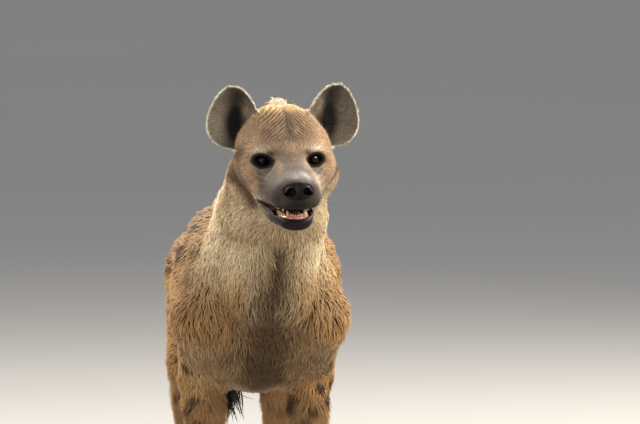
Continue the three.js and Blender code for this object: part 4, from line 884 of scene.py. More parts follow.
def paint(p, n, r, d=None):
    """The coat's colour, and how bare the skin is, from 0 to 1. Linear RGB."""
    x, y, z = p.T
    hx, hy, hz, ax = r["hx"], r["hy"], r["hz"], r["ax"]
    big = noise(p, 90.0, 2)
    mid = noise(p, 28.0, 3)
    fine = noise(p, 9.0, 4)
    if d is None:
        d = lie(p, n, r)
    locks = streaks(p, d, 9.0, 46.0, 5)
    hairs = streaks(p, d, 3.6, 24.0, 6)
    c = np.tile(TAN, (len(p), 1))
    c = toward(c, GINGER, 0.45 + 0.4 * big)
    # the back is a little darker and greyer, the belly and the insides of the legs paler
    c = toward(c, rgb(132, 98, 62), 0.65 * ramp(0.3, 0.9, n[:, 2]) * ramp(620, 700, z))
    c = toward(c, rgb(188, 162, 124), 0.55 * ramp(-0.2, -0.8, n[:, 2]) * ramp(380, 440, z))
    neck = r["neck"]
    front = ramp(-0.1, -0.75, n[:, 1])
    c = toward(c, rgb(232, 199, 149), 0.88 * neck ** 1.6 * (0.25 + 0.75 * ramp(-275, -350, y)))
    # the neck's sides paler still where they face sideways: partly cream fur, partly painted rim light
    c = toward(c, rgb(252, 229, 188), 0.88 * ramp(-295, -375, y) * neck ** 2 * ramp(0.25, 0.8, np.abs(n[:, 0])) * ramp(640, 740, z))
    # throat and chest: greyer brown in front, with a dark line down the middle that widens below
    mid_x = np.interp(z, [560, 700, 790], [4, 22, 34])
    c = toward(c, rgb(212, 186, 145), 0.85 * front * ramp(70, 30, np.abs(x - mid_x)) * ramp(-250, -330, y) * ramp(560, 640, z) * (1 - r["head"]))
    line = np.exp(-(((x - mid_x) / np.interp(z, [480, 620, 700, 790], [105, 66, 28, 12])) ** 2))
    c = toward(c, rgb(82, 61, 38), 0.93 * np.maximum(front, ramp(0.2, -0.3, n[:, 1]) * ramp(720, 660, z)) * line * ramp(-250, -330, y) * ramp(800, 740, z) * (1 - r["head"]))
    # the crest from the nape to the shoulders
    crest = np.exp(-(((x - np.interp(y, [-430, -200], [38, 0])) / 24) ** 2)) * ramp(0.3, 0.8, n[:, 2]) * ramp(-40, -160, y) * ramp(-470, -440, y)
    c = toward(c, toward(np.tile(rgb(116, 84, 56), (len(p), 1)), rgb(206, 170, 124), ramp(-330, -400, y)), 0.6 * crest * (1 - r["head"]))
    # spots
    where = ramp(-385, -300, y) * (1 - r["head"]) * (1 - 0.85 * neck * front) * (1 - r["tail"])
    where = where * (0.45 + 0.55 * ramp(-0.75, -0.2, n[:, 2])) * ramp(180, 300, z)
    where = np.maximum(where, 0.45 * neck * (1 - front) * ramp(-420, -370, y))
    c = toward(c, DARK, 0.9 * spots(p) * where)
    # legs: duller below, dark feet
    c = toward(c, rgb(146, 113, 79), 0.6 * r["leg"])
    c = toward(c, rgb(80, 61, 46), 0.8 * ramp(230, 60, z) * (1 - r["tail"]))
    # tail: brown, then black
    t = r["tail"]
    c = toward(c, rgb(126, 94, 64), 0.8 * t)
    c = toward(c, rgb(30, 23, 18), t * ramp(520, 440, z))
    c = c * (1 + 0.26 * locks * ramp(380, 440, z))[:, None]
    # head
    h = np.tile(rgb(188, 154, 120), (len(p), 1))
    h = toward(h, rgb(202, 164, 124), 0.8 * ramp(36, 70, ax) * ramp(-20, 30, hz))
    h = toward(h, rgb(232, 190, 130), ramp(62, 92, hz) * ramp(20, 60, hy))
    h = toward(h, rgb(104, 77, 52), 0.9 * ramp(12, -22, hz) * ramp(-2, 30, hy))
    # the outer lower cheeks browner; the much stronger darkening on the animal's right cheek, away from the key lamp,
    # is painted shade
    h = toward(h, rgb(108, 80, 54), 0.85 * ramp(64, 82, ax) * ramp(36, 8, hz) * ramp(-6, 20, hy) * (0.62 - 0.38 * np.sign(hx)))
    h = toward(h, rgb(236, 212, 180), 0.85 * bump_at(ax, hy, hz, (50, -4, 17.5), (17, 26, 6.5)))
    h = toward(h, rgb(160, 136, 114), 0.7 * ramp(26, 8, ax) * ramp(4, 40, hz) * ramp(88, 70, hz))
    h = toward(h, rgb(118, 101, 86), 0.85 * ramp(32, 16, ax) * bump_at(0 * hx, hy, hz, (0, -8, 2), (9, 60, 14)))
    # the muzzle: grey on the bridge, dark at the sides, nearly black round the nose and the lips
    muz = ramp(34, -12, hy) * ramp(2, -26, hz) * ramp(66, 54, ax)
    h = toward(h, toward(np.tile(rgb(104, 91, 78), (len(p), 1)), rgb(64, 54, 46), 0.55 * ramp(-0.1, 0.7, mid)), 0.95 * muz)
    h = toward(h, rgb(158, 138, 118), 0.7 * bump_at(ax, hy, hz, (48, -8, -26), (20, 30, 10)))
    # a paler patch on the muzzle's left side only, which faces the key lamp: painted light
    h = toward(h, rgb(180, 160, 134), 0.55 * bump_at(hx, hy, hz, (50, -30, -34), (14, 40, 20)))
    h = toward(h, rgb(112, 100, 91), 0.9 * ramp(26, 12, ax) * ramp(16, -12, hz) * ramp(24, -10, hy))
    h = toward(h, rgb(74, 64, 55), 0.85 * ramp(-52, -92, hy) * ramp(-22, -46, hz))
    # a pale grey patch just above the nose, brightened to near white as a painted highlight
    h = toward(h, rgb(214, 205, 196), 0.95 * bump_at(hx, hy, hz, (4, -105, -27), (18, 15, 8)))
    # paler on the left of the muzzle's front only: painted light on the side that faces the key lamp
    h = toward(h, rgb(192, 170, 144), 0.5 * bump_at(hx, hy, hz, (42, -72, -46), (9, 40, 18)))
    # a darker patch on the muzzle's right side only: partly darker hair, partly painted shade on the side away from the
    # key lamp
    h = toward(h, rgb(80, 68, 58), 0.45 * bump_at(hx, hy, hz, (-34, -50, -36), (16, 40, 18)))
    h = h * (1 + (0.20 * fine + 0.16 * mid) * ramp(30, -20, hy) * ramp(14, -8, hz))[:, None]
    h = toward(h, rgb(46, 39, 33), 0.9 * ramp(-74, -88, hz) * ramp(-40, -80, hy))
    h = toward(h, rgb(22, 18, 15), 0.95 * bump_at(hx, hy, hz, (0, -112, -78), (24, 26, 13)))
    h = toward(h, rgb(228, 208, 174), 0.88 * bump_at(ax, hy, hz, (54, 20, -67), (8, 34, 15)))
    # a paler patch on the left side of the muzzle below the eye only: painted light on the side that faces the key lamp
    h = toward(h, rgb(210, 188, 160), 0.75 * bump_at(hx, hy, hz, (52, -30, -47), (11, 40, 20)))
    # folds of darker hair from the eyes' inner corners down the cheeks
    fold = np.sin((ax * 0.9 - 0.75 * hz - 0.25 * hy + 2.0 * mid) * (2 * math.pi / 9.5))
    h = h * (1 + 0.34 * fold * bump_at(ax, hy, hz, (46, -6, -36), (22, 36, 26)))[:, None]
    # dark rims and inner corners of the eyes
    h = toward(h, rgb(26, 21, 18), 0.95 * bump_at(ax, hy, hz, (33, -14, 10.5), (10.5, 18, 7)))
    h = toward(h, rgb(48, 40, 34), 0.75 * bump_at(ax, hy, hz, (30, -18, -2), (8, 18, 5.5)))
    h = toward(h, rgb(20, 16, 14), 0.97 * ramp(7.0, 3.2, r["lid"]))
    # the parting and the fine lines of hair that run from it over the forehead
    lines = 0.5 + 0.5 * np.sin((hz + 0.85 * ax + 2.4 * mid + 1.2 * fine) * (2 * math.pi / 6.6))
    lined = ramp(64, 30, ax) * ramp(18, 44, hz) * ramp(100, 88, hz) * ramp(92, 68, hy)
    h = h * (1.08 - 0.80 * lines ** 1.4 * lined)[:, None]
    h = toward(h, rgb(40, 31, 26), 0.8 * np.exp(-((hx / 3.0) ** 2)) * ramp(40, 56, hz) * ramp(96, 84, hz))
    h = toward(h, rgb(70, 56, 46), 0.6 * bump_at(hx, hy, hz, (2, 20, 48), (11, 60, 13)) * (0.6 + 0.4 * hairs))
    # lips and chin
    lip = ramp(5.0, 2.6, r["mouth"])
    chin = ramp(-94, -104, hz) * ramp(30, -10, hy) * ramp(46, 38, ax)
    h = toward(h, rgb(48, 40, 33), 0.9 * ramp(10, 4, r["mouth"]) * ramp(24, 6, hy))
    h = toward(h, rgb(30, 25, 21), 0.95 * chin)
    h = toward(h, BLACK, 0.97 * np.maximum(lip, chin * ramp(-0.9, -0.2, n[:, 2] - 0.6)))
    # under the jaw
    h = toward(h, rgb(200, 176, 138), 0.8 * ramp(0, 40, hy) * ramp(-84, -104, hz))
    dim = ramp(0.006, 0.05, h.mean(1))
    h = h * (1 + (0.24 * locks * ramp(-40, 20, hy) + 0.24 * hairs) * dim)[:, None]
    c = c + (h - c) * r["head"][:, None]
    # the face ends at the cheek's and the jaw's edge: just behind it a painted brown shadow, then the pale neck
    past = ax - np.interp(hz, [-130, -92, -66, -40, -26], [44, 46, 58, 80, 96])
    side = ramp(14, 40, hy) * ramp(150, 110, hy) * ramp(-20, -34, hz) * ramp(-170, -110, hz)
    c = toward(c, rgb(214, 188, 146), 0.75 * ramp(8, 26, past) * side)
    # painted shadow along the face's edge, on the neck
    c = toward(c, rgb(92, 68, 44), 0.75 * np.exp(-(((past - 6) / 9.0) ** 2)) * side * ramp(-100, -80, hz))
    # ears
    q = r["ear_r"]
    e = np.tile(rgb(122, 94, 66), (len(p), 1))
    inside = np.tile(rgb(142, 128, 109), (len(p), 1))
    inside = inside * (1 + 0.45 * streaks(p, d, 4.0, 30.0, 7))[:, None]
    ex, ez = r["ex"], r["ez"]
    inside = toward(inside, rgb(74, 64, 54), 0.6 * ramp(0.55, 0.15, q) + 0.22 * mid)
    inside = toward(inside, rgb(56, 47, 39), 0.78 * bump_at(ex, 0, ez, (88, 0, 116), (22, 99, 18)))
    inside = toward(inside, rgb(15, 12, 9), 0.98 * np.minimum(1, 1.3 * bump_at(ex, 0, ez, (90, 0, 64), (15.5, 99, 52))))
    inside = toward(inside, rgb(170, 150, 120), 0.75 * bump_at(ex, 0, ez, (71, 0, 86), (6, 99, 13)))
    e = e + (inside - e) * r["ear_in"][:, None]
    # a near-white band at the ear's rim: partly pale fringe hair, partly painted rim light
    e = toward(e, rgb(244, 232, 200), ramp(0.905, 0.95, q) * ramp(44, 56, ex))
    c = c + (e - c) * r["ear"][:, None]
    c = c * (1 + 0.08 * mid + 0.10 * fine)[:, None]
    # a pale crest on the crown, painted near white: partly pale hair, partly painted rim light
    c = toward(c, rgb(242, 228, 204), 0.95 * bump_at(hx, hy, hz, (-3, 98, 100), (21, 32, 16)))
    # the mouth's inside is moist and pink, blotched with brown
    inmouth = np.maximum(ramp(-0.6, -2.4, r["mouth"] + 0.2), r["deep"]) * r["head"]
    inmouth = np.maximum(inmouth, ramp(1.5, -1.5, r["room"]) * ramp(1.0, -1.5, r["mouth"]) * r["head"])
    flesh = toward(np.tile(rgb(214, 128, 108), (len(p), 1)), rgb(92, 54, 46), 0.25 + 0.45 * mid)
    c = c + (flesh - c) * inmouth[:, None]
    bare = np.maximum.reduce(
        [
            inmouth,
            lip * r["head"],
            ramp(2.4, 0.9, r["lid"]) * (r["lid"] < 50),
            ramp(1.5, 0.0, r["nose"]),
            0.8 * chin * r["head"] * ramp(-70, -86, hy),
            ramp(7, 2, z) * ramp(-0.3, -0.8, n[:, 2]),
        ]
    )
    c = toward(c, rgb(16, 13, 12), 0.95 * ramp(3.2, 1.2, r["lid"]) * (r["lid"] < 50))
    c = toward(c, BLACK, 0.95 * ramp(2.5, 0.5, r["nose"]))
    c = toward(c, rgb(46, 37, 33), ramp(7, 2, z) * ramp(-0.3, -0.8, n[:, 2]))
    return np.clip(c, 0.0015, 1), np.clip(bare, 0, 1)


def lie(p, n, r):
    """The way the hair lies, along the skin."""
    x, y, z = p.T
    hx, hy, hz, ax = r["hx"], r["hy"], r["hz"], r["ax"]
    side = np.sign(x)
    one = np.ones(len(p))

    def way(a, b, c):
        return np.stack([a * one, b * one, c * one], 1)

    def into(d, other, w):
        return d + (other - d) * np.clip(w, 0, 1)[:, None]

    d = way(0, 1, -0.32)
    d = into(d, way(0, 0.9, -0.75), ramp(640, 540, z) * ramp(0.5, 0.1, n[:, 2]))
    d = into(d, way(0, 0.5, -1), ramp(-120, -240, y) * ramp(680, 560, z))
    d = into(d, way(0, 0.6, -1), ramp(230, 330, y) * ramp(640, 540, z))
    d = into(d, way(-0.1, 0.62, -0.75), r["neck"])
    d = into(d, way(0, 0.15, -1), ramp(-0.2, -0.7, n[:, 1]) * ramp(-230, -330, y))
    d = into(d, way(0, 0.12, -1), r["leg"])
    d = into(d, way(0, -1, -0.35), ramp(100, 50, z))
    d = into(d, way(0, 0.1, -1), r["tail"])
    # the short mane stands up along the nape and leans forward
    crest = np.exp(-(((x - np.interp(y, [-430, -200], [38, 0])) / 22) ** 2)) * ramp(0.3, 0.8, n[:, 2]) * ramp(-60, -170, y) * ramp(-470, -410, y)
    d = into(d, way(0, -1, 0), crest * (1 - r["head"]))
    h = way(0, 1, 0.3)
    h = into(h, np.stack([-1.0 * np.sign(hx) * ramp(0, 8, ax), 0.35 * one, 0.85 * one], 1), ramp(14, 40, hz) * ramp(96, 60, hy) * ramp(72, 40, ax))
    h = into(h, np.stack([0.16 * np.sign(hx), one, -0.45 * one], 1), ramp(52, 70, ax) + ramp(-20, -50, hz))
    h = into(h, np.stack([0.35 * np.sign(hx), 0.8 * one, -0.8 * one], 1), ramp(40, 90, hy) * ramp(20, -30, hz))
    h = into(h, np.stack([0.25 * np.sign(hx), 0.5 * one, -1.0 * one], 1), ramp(-30, -80, hy) * ramp(-40, -62, hz) * 0.7)
    away = np.stack([np.sign(hx) * (ax - EYE_X), 0.3 * (hy - EYE_BACK + 14), hz - EYE_H], 1)
    away = away / np.maximum(np.linalg.norm(away, axis=1, keepdims=True), 1e-6)
    h = into(h, away, 0.85 * ramp(24, 13, r["eye"]))
    e = np.stack([np.sign(hx) * (ax - 84), 0.0 * one, hz - 62], 1)
    e = e / np.maximum(np.linalg.norm(e, axis=1, keepdims=True), 1e-6)
    back = np.stack([0.35 * np.sign(hx), 0 * one, 1.0 * one], 1)
    e = e * r["ear_in"][:, None] + (0.55 * back + 0.45 * e) * (1 - r["ear_in"])[:, None]
    h = into(h, e, r["ear"])
    d = into(d, h @ HEAD_TURN.T, np.maximum(r["head"], r["ear"]))
    d = d - (d * n).sum(1)[:, None] * n
    return d / np.maximum(np.linalg.norm(d, axis=1, keepdims=True), 1e-6)


def coat_of(p, n, r):
    """Length and width of the tufts in mm, how steeply they stand, how many layers cover the skin."""
    x, y, z = p.T
    hx, hy, hz, ax = r["hx"], r["hy"], r["hz"], r["ax"]

    def into(a, b, w):
        return a + (b - a) * np.clip(w, 0, 1)

    back = ramp(0.5, 0.95, n[:, 2]) * ramp(640, 720, z)
    L = np.full(len(p), 36.0)
    up = np.full(len(p), 0.50)
    cover = np.full(len(p), 3.35)
    L = into(L, 42, back)
    L = into(L, 27, ramp(-0.3, -0.9, n[:, 2]) * ramp(380, 430, z))
    L = into(L, 33, r["neck"])
    L = into(L, 24, ramp(580, 430, z) * (1 - r["tail"]) * (y < 430))
    L = into(L, 12.5, ramp(430, 270, z))
    L = into(L, 6.5, ramp(130, 60, z))
    cover = into(cover, 2.3, ramp(430, 300, z))
    up = into(up, 0.34, ramp(430, 300, z))
    up = into(up, 0.48, ramp(120, 70, z))
    up = into(up, 0.62, r["neck"])
    crest = np.exp(-(((x - np.interp(y, [-430, -200], [38, 0])) / 20) ** 2)) * ramp(0.3, 0.8, n[:, 2]) * ramp(-60, -170, y) * ramp(-470, -410, y)
    crest = crest * (1 - r["head"])
    L = into(L, 40, crest)
    up = into(up, 0.72, crest)
    t = r["tail"]
    L = into(L, np.interp(z, [335, 400, 470, 540, 600], [66, 88, 80, 48, 36]), t)
    up = into(up, 0.26, t)
    cover = into(cover, 4.5, t)
    h = r["head"]
    face = np.full(len(p), 7.0)
    face = into(face, 12.0, ramp(60, 110, hy) * ramp(-60, -20, hz))
    face = into(face, 9.0, ramp(14, 40, hz))
    face = into(face, 14.0, ramp(76, 96, hz) * ramp(50, 90, hy))
    face = into(face, 15.0, ramp(40, 90, hy) * ramp(-20, -70, hz))
    face = into(face, 3.4, ramp(-10, -70, hy))
    face = into(face, 3.0, ramp(22, 14, r["eye"]))
    face = into(face, 2.4, ramp(12, 4, r["mouth"]) * ramp(24, 6, hy))
    L = into(L, face, h)
    up = into(up, 0.40, h)
    cover = into(cover, 2.5, h)
    tuft = ramp(0.22, 0.62, bump_at(hx, hy, hz, (-3, 98, 100), (15, 28, 17)))
    L = into(L, 34, tuft)
    up = into(up, 0.95, tuft)
    e = r["ear"]
    q = r["ear_r"]
    hair = np.where(r["ear_in"] > 0.5, 6.0 + 3 * ramp(0.5, 0.2, q), 5.5)
    hair = hair + 3.0 * bump_at(r["ex"], 0, r["ez"], (70, 0, 86), (10, 99, 20)) * r["ear_in"]
    hair = hair + 1.0 * ramp(0.9, 0.96, q)
    L = into(L, hair, e)
    up = into(up, 0.42, e)
    cover = into(cover, 2.4, e)
    W = np.minimum(0.70 + 0.072 * L, 3.6)
    W = W * (1 - 0.42 * r["neck"])
    cover = into(cover, 3.7, r["neck"])
    W = into(W, 1.5, tuft)
    W = into(W, 2.3, ramp(420, 300, z) * (1 - t) * ramp(60, 120, z))
    return L, W, up, cover


# ---------------------------------------------------------------- the skin as an object
def add_colour(me, c, name="coat"):
    a = me.color_attributes.new(name, "FLOAT_COLOR", "POINT")
    a.data.foreach_set("color", np.concatenate([c, np.ones((len(c), 1))], 1).astype(np.float32).ravel())
    me.color_attributes.active_color = a
    me.color_attributes.render_color_index = me.color_attributes.find(name)


def add_number(me, v, name):
    a = me.attributes.new(name, "FLOAT", "POINT")
    a.data.foreach_set("value", np.asarray(v, np.float32))


REG = regions(P, NORMAL)
WAY = lie(P, NORMAL, REG)
E = edges_of(T)
for _ in range(8):  # the lie of the hair turns smoothly from one part to the next
    s = np.zeros_like(WAY)
    for k in range(3):
        s[:, k] = np.bincount(E[:, 0], WAY[E[:, 1], k], len(P)) + np.bincount(E[:, 1], WAY[E[:, 0], k], len(P))
    s = s / np.maximum(np.linalg.norm(s, axis=1, keepdims=True), 1e-6) + 0.6 * WAY
    s -= (s * NORMAL).sum(1)[:, None] * NORMAL
    WAY = s / np.maximum(np.linalg.norm(s, axis=1, keepdims=True), 1e-6)
COLOUR, BARE = paint(P, NORMAL, REG, WAY)
LENGTH, WIDTH, STAND, COVER = coat_of(P, NORMAL, REG)

skin = mesh_from("skin", to_row(P), T)
under = COLOUR * (0.54 + 0.46 * BARE)[:, None]
short = np.clip(ramp(9, 3, LENGTH), 0, 1)
under = under + (COLOUR * 0.8 - under) * (short * (1 - BARE))[:, None]
add_colour(skin.data, under)
add_number(skin.data, BARE, "bare")
inmouth = np.maximum(ramp(-0.4, -2.4, REG["mouth"]), REG["deep"]) * REG["head"]
add_number(skin.data, inmouth, "wet")

skin.data.uv_layers.new(name="OFBake")
bpy.ops.object.select_all(action="DESELECT")
skin.select_set(True)
bpy.context.view_layer.objects.active = skin
bpy.ops.object.mode_set(mode="EDIT")
bpy.ops.mesh.select_all(action="SELECT")
bpy.ops.uv.smart_project(angle_limit=math.radians(66), island_margin=0.002)
bpy.ops.object.mode_set(mode="OBJECT")
UV = np.empty(len(skin.data.loops) * 2, np.float32)
skin.data.uv_layers["OFBake"].data.foreach_get("uv", UV)
UV = UV.reshape(-1, 3, 2).astype(float)  # by triangle and corner, as the skin is all triangles
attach(skin, "root")


# ---------------------------------------------------------------- the coat
def grown(pieces, p, n, d, L, W, up, uv, root, tip, segments):
    """Solid tufts: three-sided locks that rise from the skin, bend along it and end in a point.
    Returns points, triangles, colours, soft normals and a place on the map for each point."""
    m = len(p)
    side = np.cross(n, d)
    bend = up * (rng.uniform(0.62, 0.92, m) if segments > 1 else rng.uniform(0.05, 0.5, m))
    sway = rng.normal(0, 0.10, m)
    flat = rng.uniform(0.32, 0.5, m)
    stops = {1: [0.0], 2: [0.0, 0.46], 3: [0.0, 0.36, 0.70]}[segments]
    wide = {1: [1.0], 2: [0.85, 0.92], 3: [0.8, 1.0, 0.72]}[segments]
    pts, cols, nors, uvs = [], [], [], []

    def spine(s):
        return (
            p
            + d * (L * s * (1 - 0.12 * up * s))[:, None]
            + n * (L * (up * s - bend * s * s) - np.minimum(0.9, 0.25 + 0.03 * L) * (s == 0))[:, None]
            + side * (L * sway * s * s)[:, None]
        )

    for s, w in zip(stops, wide):
        c = spine(s)
        rise = up - 2 * bend * s
        out = n - d * rise[:, None]
        out /= np.linalg.norm(out, axis=1, keepdims=True)
        half = 0.5 * W * w
        for a, b in ((1.0, -0.25), (-1.0, -0.25), (0.0, 1.0)):
            pts.append(c + side * (a * half)[:, None] + out * (b * half * 2 * flat)[:, None])
            k = 0.72 * n + side * (0.55 * a) + out * (0.25 * max(b, 0))
            nors.append(k / np.linalg.norm(k, axis=1, keepdims=True))
            f = s ** 0.7
            cols.append(root + (tip - root) * f)
            uvs.append(uv + np.array([0.0015 * a, 0.003 * s - 0.0015]))
    pts.append(spine(1.0))
    k = n + 0.3 * d
    nors.append(k / np.linalg.norm(k, axis=1, keepdims=True))
    cols.append(tip)
    uvs.append(uv + np.array([0.0, 0.0015]))
    count = 3 * len(stops) + 1
    V = np.stack(pts, 1).reshape(-1, 3)
    tri = [(0, 2, 1)]
    for i in range(len(stops) - 1):
        a = 3 * i
        for q, w in ((0, 2), (2, 1), (1, 0)):
            tri += [(a + q, a + w, a + w + 3), (a + q, a + w + 3, a + q + 3)]
    a = 3 * (len(stops) - 1)
    tri += [(a, a + 2, count - 1), (a + 2, a + 1, count - 1), (a + 1, a, count - 1)]
    # the base faces into the skin, the sides away from the lock's middle
    tri = np.array(tri)
    F = (np.arange(m)[:, None, None] * count + tri[None]).reshape(-1, 3)
    return (
        V,
        F,
        np.stack(cols, 1).reshape(-1, 3),
        np.stack(nors, 1).reshape(-1, 3),
        np.stack(uvs, 1).reshape(-1, 2),
    )


FN = face_normals(P, T)
AREA = 0.5 * np.linalg.norm(FN, axis=1)


def scatter(density):
    """Places on the skin, spread evenly: triangle numbers and shares of its corners."""
    want = AREA * density
    total = np.cumsum(want)
    m = int(total[-1])
    t = np.searchsorted(total, (np.arange(m) + rng.random(m)) * (total[-1] / m))
    t = np.minimum(t, len(T) - 1)
    a, b = rng.random(m), rng.random(m)
    over = a + b > 1
    a[over], b[over] = 1 - a[over], 1 - b[over]
    return t, np.stack([1 - a - b, a, b], 1)


def at(values, t, w):
    v = values[T[t]]
    return (v * (w[:, :, None] if v.ndim == 3 else w)).sum(1)


DENSE = COVER / (0.6 * WIDTH * LENGTH)
DENSE = np.where(BARE > 0.5, 0, DENSE * (1 - 0.5 * BARE))
t_, w_ = scatter(DENSE[T].mean(1))
print("tufts", len(t_))
rp, rn, rd = at(P, t_, w_), at(NORMAL, t_, w_), at(WAY, t_, w_)
rn /= np.linalg.norm(rn, axis=1, keepdims=True)
rd -= (rd * rn).sum(1)[:, None] * rn
rd /= np.maximum(np.linalg.norm(rd, axis=1, keepdims=True), 1e-6)
rL, rW, rU = at(LENGTH, t_, w_), at(WIDTH, t_, w_), at(STAND, t_, w_)
ruv = (UV[t_] * w_[:, :, None]).sum(1)
rreg = regions(rp, rn)
rc, rb = paint(rp, rn, rreg, rd)
m_ = len(rp)
# locks lean together in patches, and each a little its own way
swing = 0.30 * noise(rp, 55.0, 41) + 0.22 * noise(rp, 21.0, 42) + rng.normal(0, 0.16, m_)
swing *= ramp(2, 26, rL) * 0.8 + 0.28
side_ = np.cross(rn, rd)
rd = rd * np.cos(swing)[:, None] + side_ * np.sin(swing)[:, None]
lumps = noise(rp, 34.0, 43)
rL = rL * rng.uniform(0.68, 1.25, m_) * (1 + 0.14 * lumps)
rU = rU * rng.uniform(0.7, 1.35, m_) + 0.06 * lumps
rW = rW * rng.uniform(0.75, 1.2, m_)
light = rng.normal(0, 0.12, m_) * (1 + 0.7 * rreg["head"] + 0.9 * rreg["paw"])
light = np.where(rng.random(m_) < 0.14 * rreg["head"] * (rL < 15), light - 0.38, light)
tone = np.clip(1 + light + 0.10 * lumps, 0.55, 1.6)
pale = rgb(226, 194, 144)
longer = ramp(10, 30, rL)
tip = rc * tone[:, None]
tip = tip + (pale - tip) * (longer * rng.uniform(0.0, 0.30, m_) * (1 - 0.8 * rreg["tail"]))[:, None] * (rc.mean(1) > 0.1)[:, None]
root = rc * (tone * (1 - 0.32 * longer - 0.12))[:, None]
keep = rb < 0.5
part_of = np.full(m_, 0)
names = [
    "coat_flank_left", "coat_flank_right", "coat_shoulder_left", "coat_shoulder_right", "coat_neck",
    "coat_legs_front", "coat_legs_hind", "coat_head", "coat_face_left", "coat_ears", "coat_tail", "coat_rump", "coat_face_right",
]
x, y, z = rp.T
part_of = np.where(x > 0, 0, 1)
part_of = np.where(y < -100, np.where(x > 0, 2, 3), part_of)
part_of = np.where(y > 250, 11, part_of)
part_of = np.where((rreg["neck"] > 0.4), 4, part_of)
part_of = np.where((z < 425) & (y < 30), 5, part_of)
part_of = np.where((z < 425) & (y >= 30), 6, part_of)
part_of = np.where(rreg["tail"] > 0.3, 10, part_of)
part_of = np.where(rreg["head"] > 0.5, np.where(rreg["hy"] > 42, 7, np.where(rreg["hx"] > 0, 8, 12)), part_of)
part_of = np.where(rreg["ear"] > 0.5, 9, part_of)
jointed = rng.random(m_) < ramp(14, 74, rreg["hy"])
PIECES = []
coat_faces = 0
for k, name in enumerate(names):
    sel = keep & (part_of == k)
    segments = {5: 1, 6: 1, 7: 2, 8: 1, 9: 1, 10: 3, 12: 1}.get(k, 2)
    groups = [(sel, segments)]
    if k in (7, 8, 12):  # the face's fine tufts change over to the longer ones of the head without an edge
        groups = [(sel & ~jointed, 1), (sel & jointed, 2)]
    V, F, C, N_, U_ = [], [], [], [], []
    off = 0
    for s, seg in groups:
        if not s.any():
            continue
        v, f, c, nn, uu = grown(None, rp[s], rn[s], rd[s], rL[s], rW[s], rU[s], ruv[s], root[s], tip[s], seg)
        V.append(v)
        F.append(f + off)
        C.append(c)
        N_.append(nn)
        U_.append(uu)
        off += len(v)
    V, F, C, N_, U_ = (np.concatenate(q) for q in (V, F, C, N_, U_))
    V[:, 2] = np.where(V[:, 2] < 0.4, 0.4 - 0.15 * np.minimum(0.4 - V[:, 2], 2), V[:, 2])  # no lock goes into the floor
    ob = mesh_from(name, to_row(V), F)
    add_colour(ob.data, np.clip(C, 0.001, 1))
    layer = ob.data.uv_layers.new(name="OFBake")
    layer.data.foreach_set("uv", U_[F.ravel()].astype(np.float32).ravel())
    ob.data.normals_split_custom_set_from_vertices(N_.astype(np.float32))
    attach(ob, "root")
    PIECES.append(ob)
    coat_faces += len(F)
    print(name, int(sel.sum()), "tufts", len(F), "triangles")
print("coat", coat_faces, "triangles in all")

FLESH = [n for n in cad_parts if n.startswith(("leg_", "neck", "thorax", "abdomen", "tail", "head", "ear_", "lower_jaw"))]
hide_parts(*FLESH)


# ---------------------------------------------------------------- eyes
def lattice(rows, cols, wrap=True):
    """Faces of a grid of rows x cols points, closed round the columns."""
    i, j = np.meshgrid(np.arange(rows - 1), np.arange(cols if wrap else cols - 1), indexing="ij")
    a = i * cols + j
    b = i * cols + (j + 1) % cols
    return np.stack([a, b, b + cols, a + cols], -1).reshape(-1, 4)


VIEW_BACK = np.array(
    [
        math.sin(math.radians(VIEW_AZ)) * math.cos(math.radians(VIEW_EL)),
        -math.cos(math.radians(VIEW_AZ)) * math.cos(math.radians(VIEW_EL)),
        math.sin(math.radians(VIEW_EL)),
    ]
)
for s in (1, -1):
    gaze = VIEW_BACK @ HEAD_TURN + np.array([0.03 * s, 0, -0.03])
    gaze /= np.linalg.norm(gaze)
    across = np.cross(gaze, [0, 0, 1.0])
    across /= np.linalg.norm(across)
    upward = np.cross(across, gaze)
    rows, cols = 49, 64
    th = math.pi * (np.arange(rows) / (rows - 1)) ** 1.15
    ph = 2 * math.pi * np.arange(cols) / cols
    TH, PH = np.meshgrid(th, ph, indexing="ij")
    rad = EYE_R + 0.75 * np.clip(1 - (TH / math.radians(34)) ** 2, 0, 1) ** 1.3 - 0.15
    dirs = (
        np.cos(TH)[..., None] * gaze
        + (np.sin(TH) * np.cos(PH))[..., None] * across
        + (np.sin(TH) * np.sin(PH))[..., None] * upward
    )
    pts = (np.array([s * EYE_X, EYE_BACK, EYE_H]) + dirs * rad[..., None]).reshape(-1, 3)
    # the two poles are one point each
    body = pts[cols : -cols]
    verts = np.concatenate([pts[:1], body, pts[-1:]])
    quads = lattice(rows - 2, cols) + 1
    k = np.arange(cols)
    caps = np.concatenate(
        [
            np.stack([np.zeros(cols, int), 1 + (k + 1) % cols, 1 + k], 1),
            np.stack([np.full(cols, len(verts) - 1), len(verts) - 1 - cols + k, len(verts) - 1 - cols + (k + 1) % cols], 1),
        ]
    )
    quads = quads[:, ::-1]
    ob = mesh_from("eyeball_left" if s > 0 else "eyeball_right", to_row(from_head(verts)), [quads, caps])
    bm = bmesh.new()
    bm.from_mesh(ob.data)
    bmesh.ops.recalc_face_normals(bm, faces=bm.faces[:])
    bm.to_mesh(ob.data)
    bm.free()
    t1 = np.concatenate([[0], np.degrees(TH[1:-1]).ravel(), [180]])
    p1 = np.concatenate([[0], PH[1:-1].ravel(), [0]])
    tired = np.concatenate([[0], (np.sin(PH[1:-1] * 1.0)).ravel(), [0]])
    add_number(ob.data, t1, "gaze")
    add_number(ob.data, np.cos(p1), "round_a")
    add_number(ob.data, np.sin(p1), "round_b")
    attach(ob, "root")
    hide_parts("eye_left" if s > 0 else "eye_right")
    if s > 0:
        eye_left = ob
    else:
        eye_right = ob

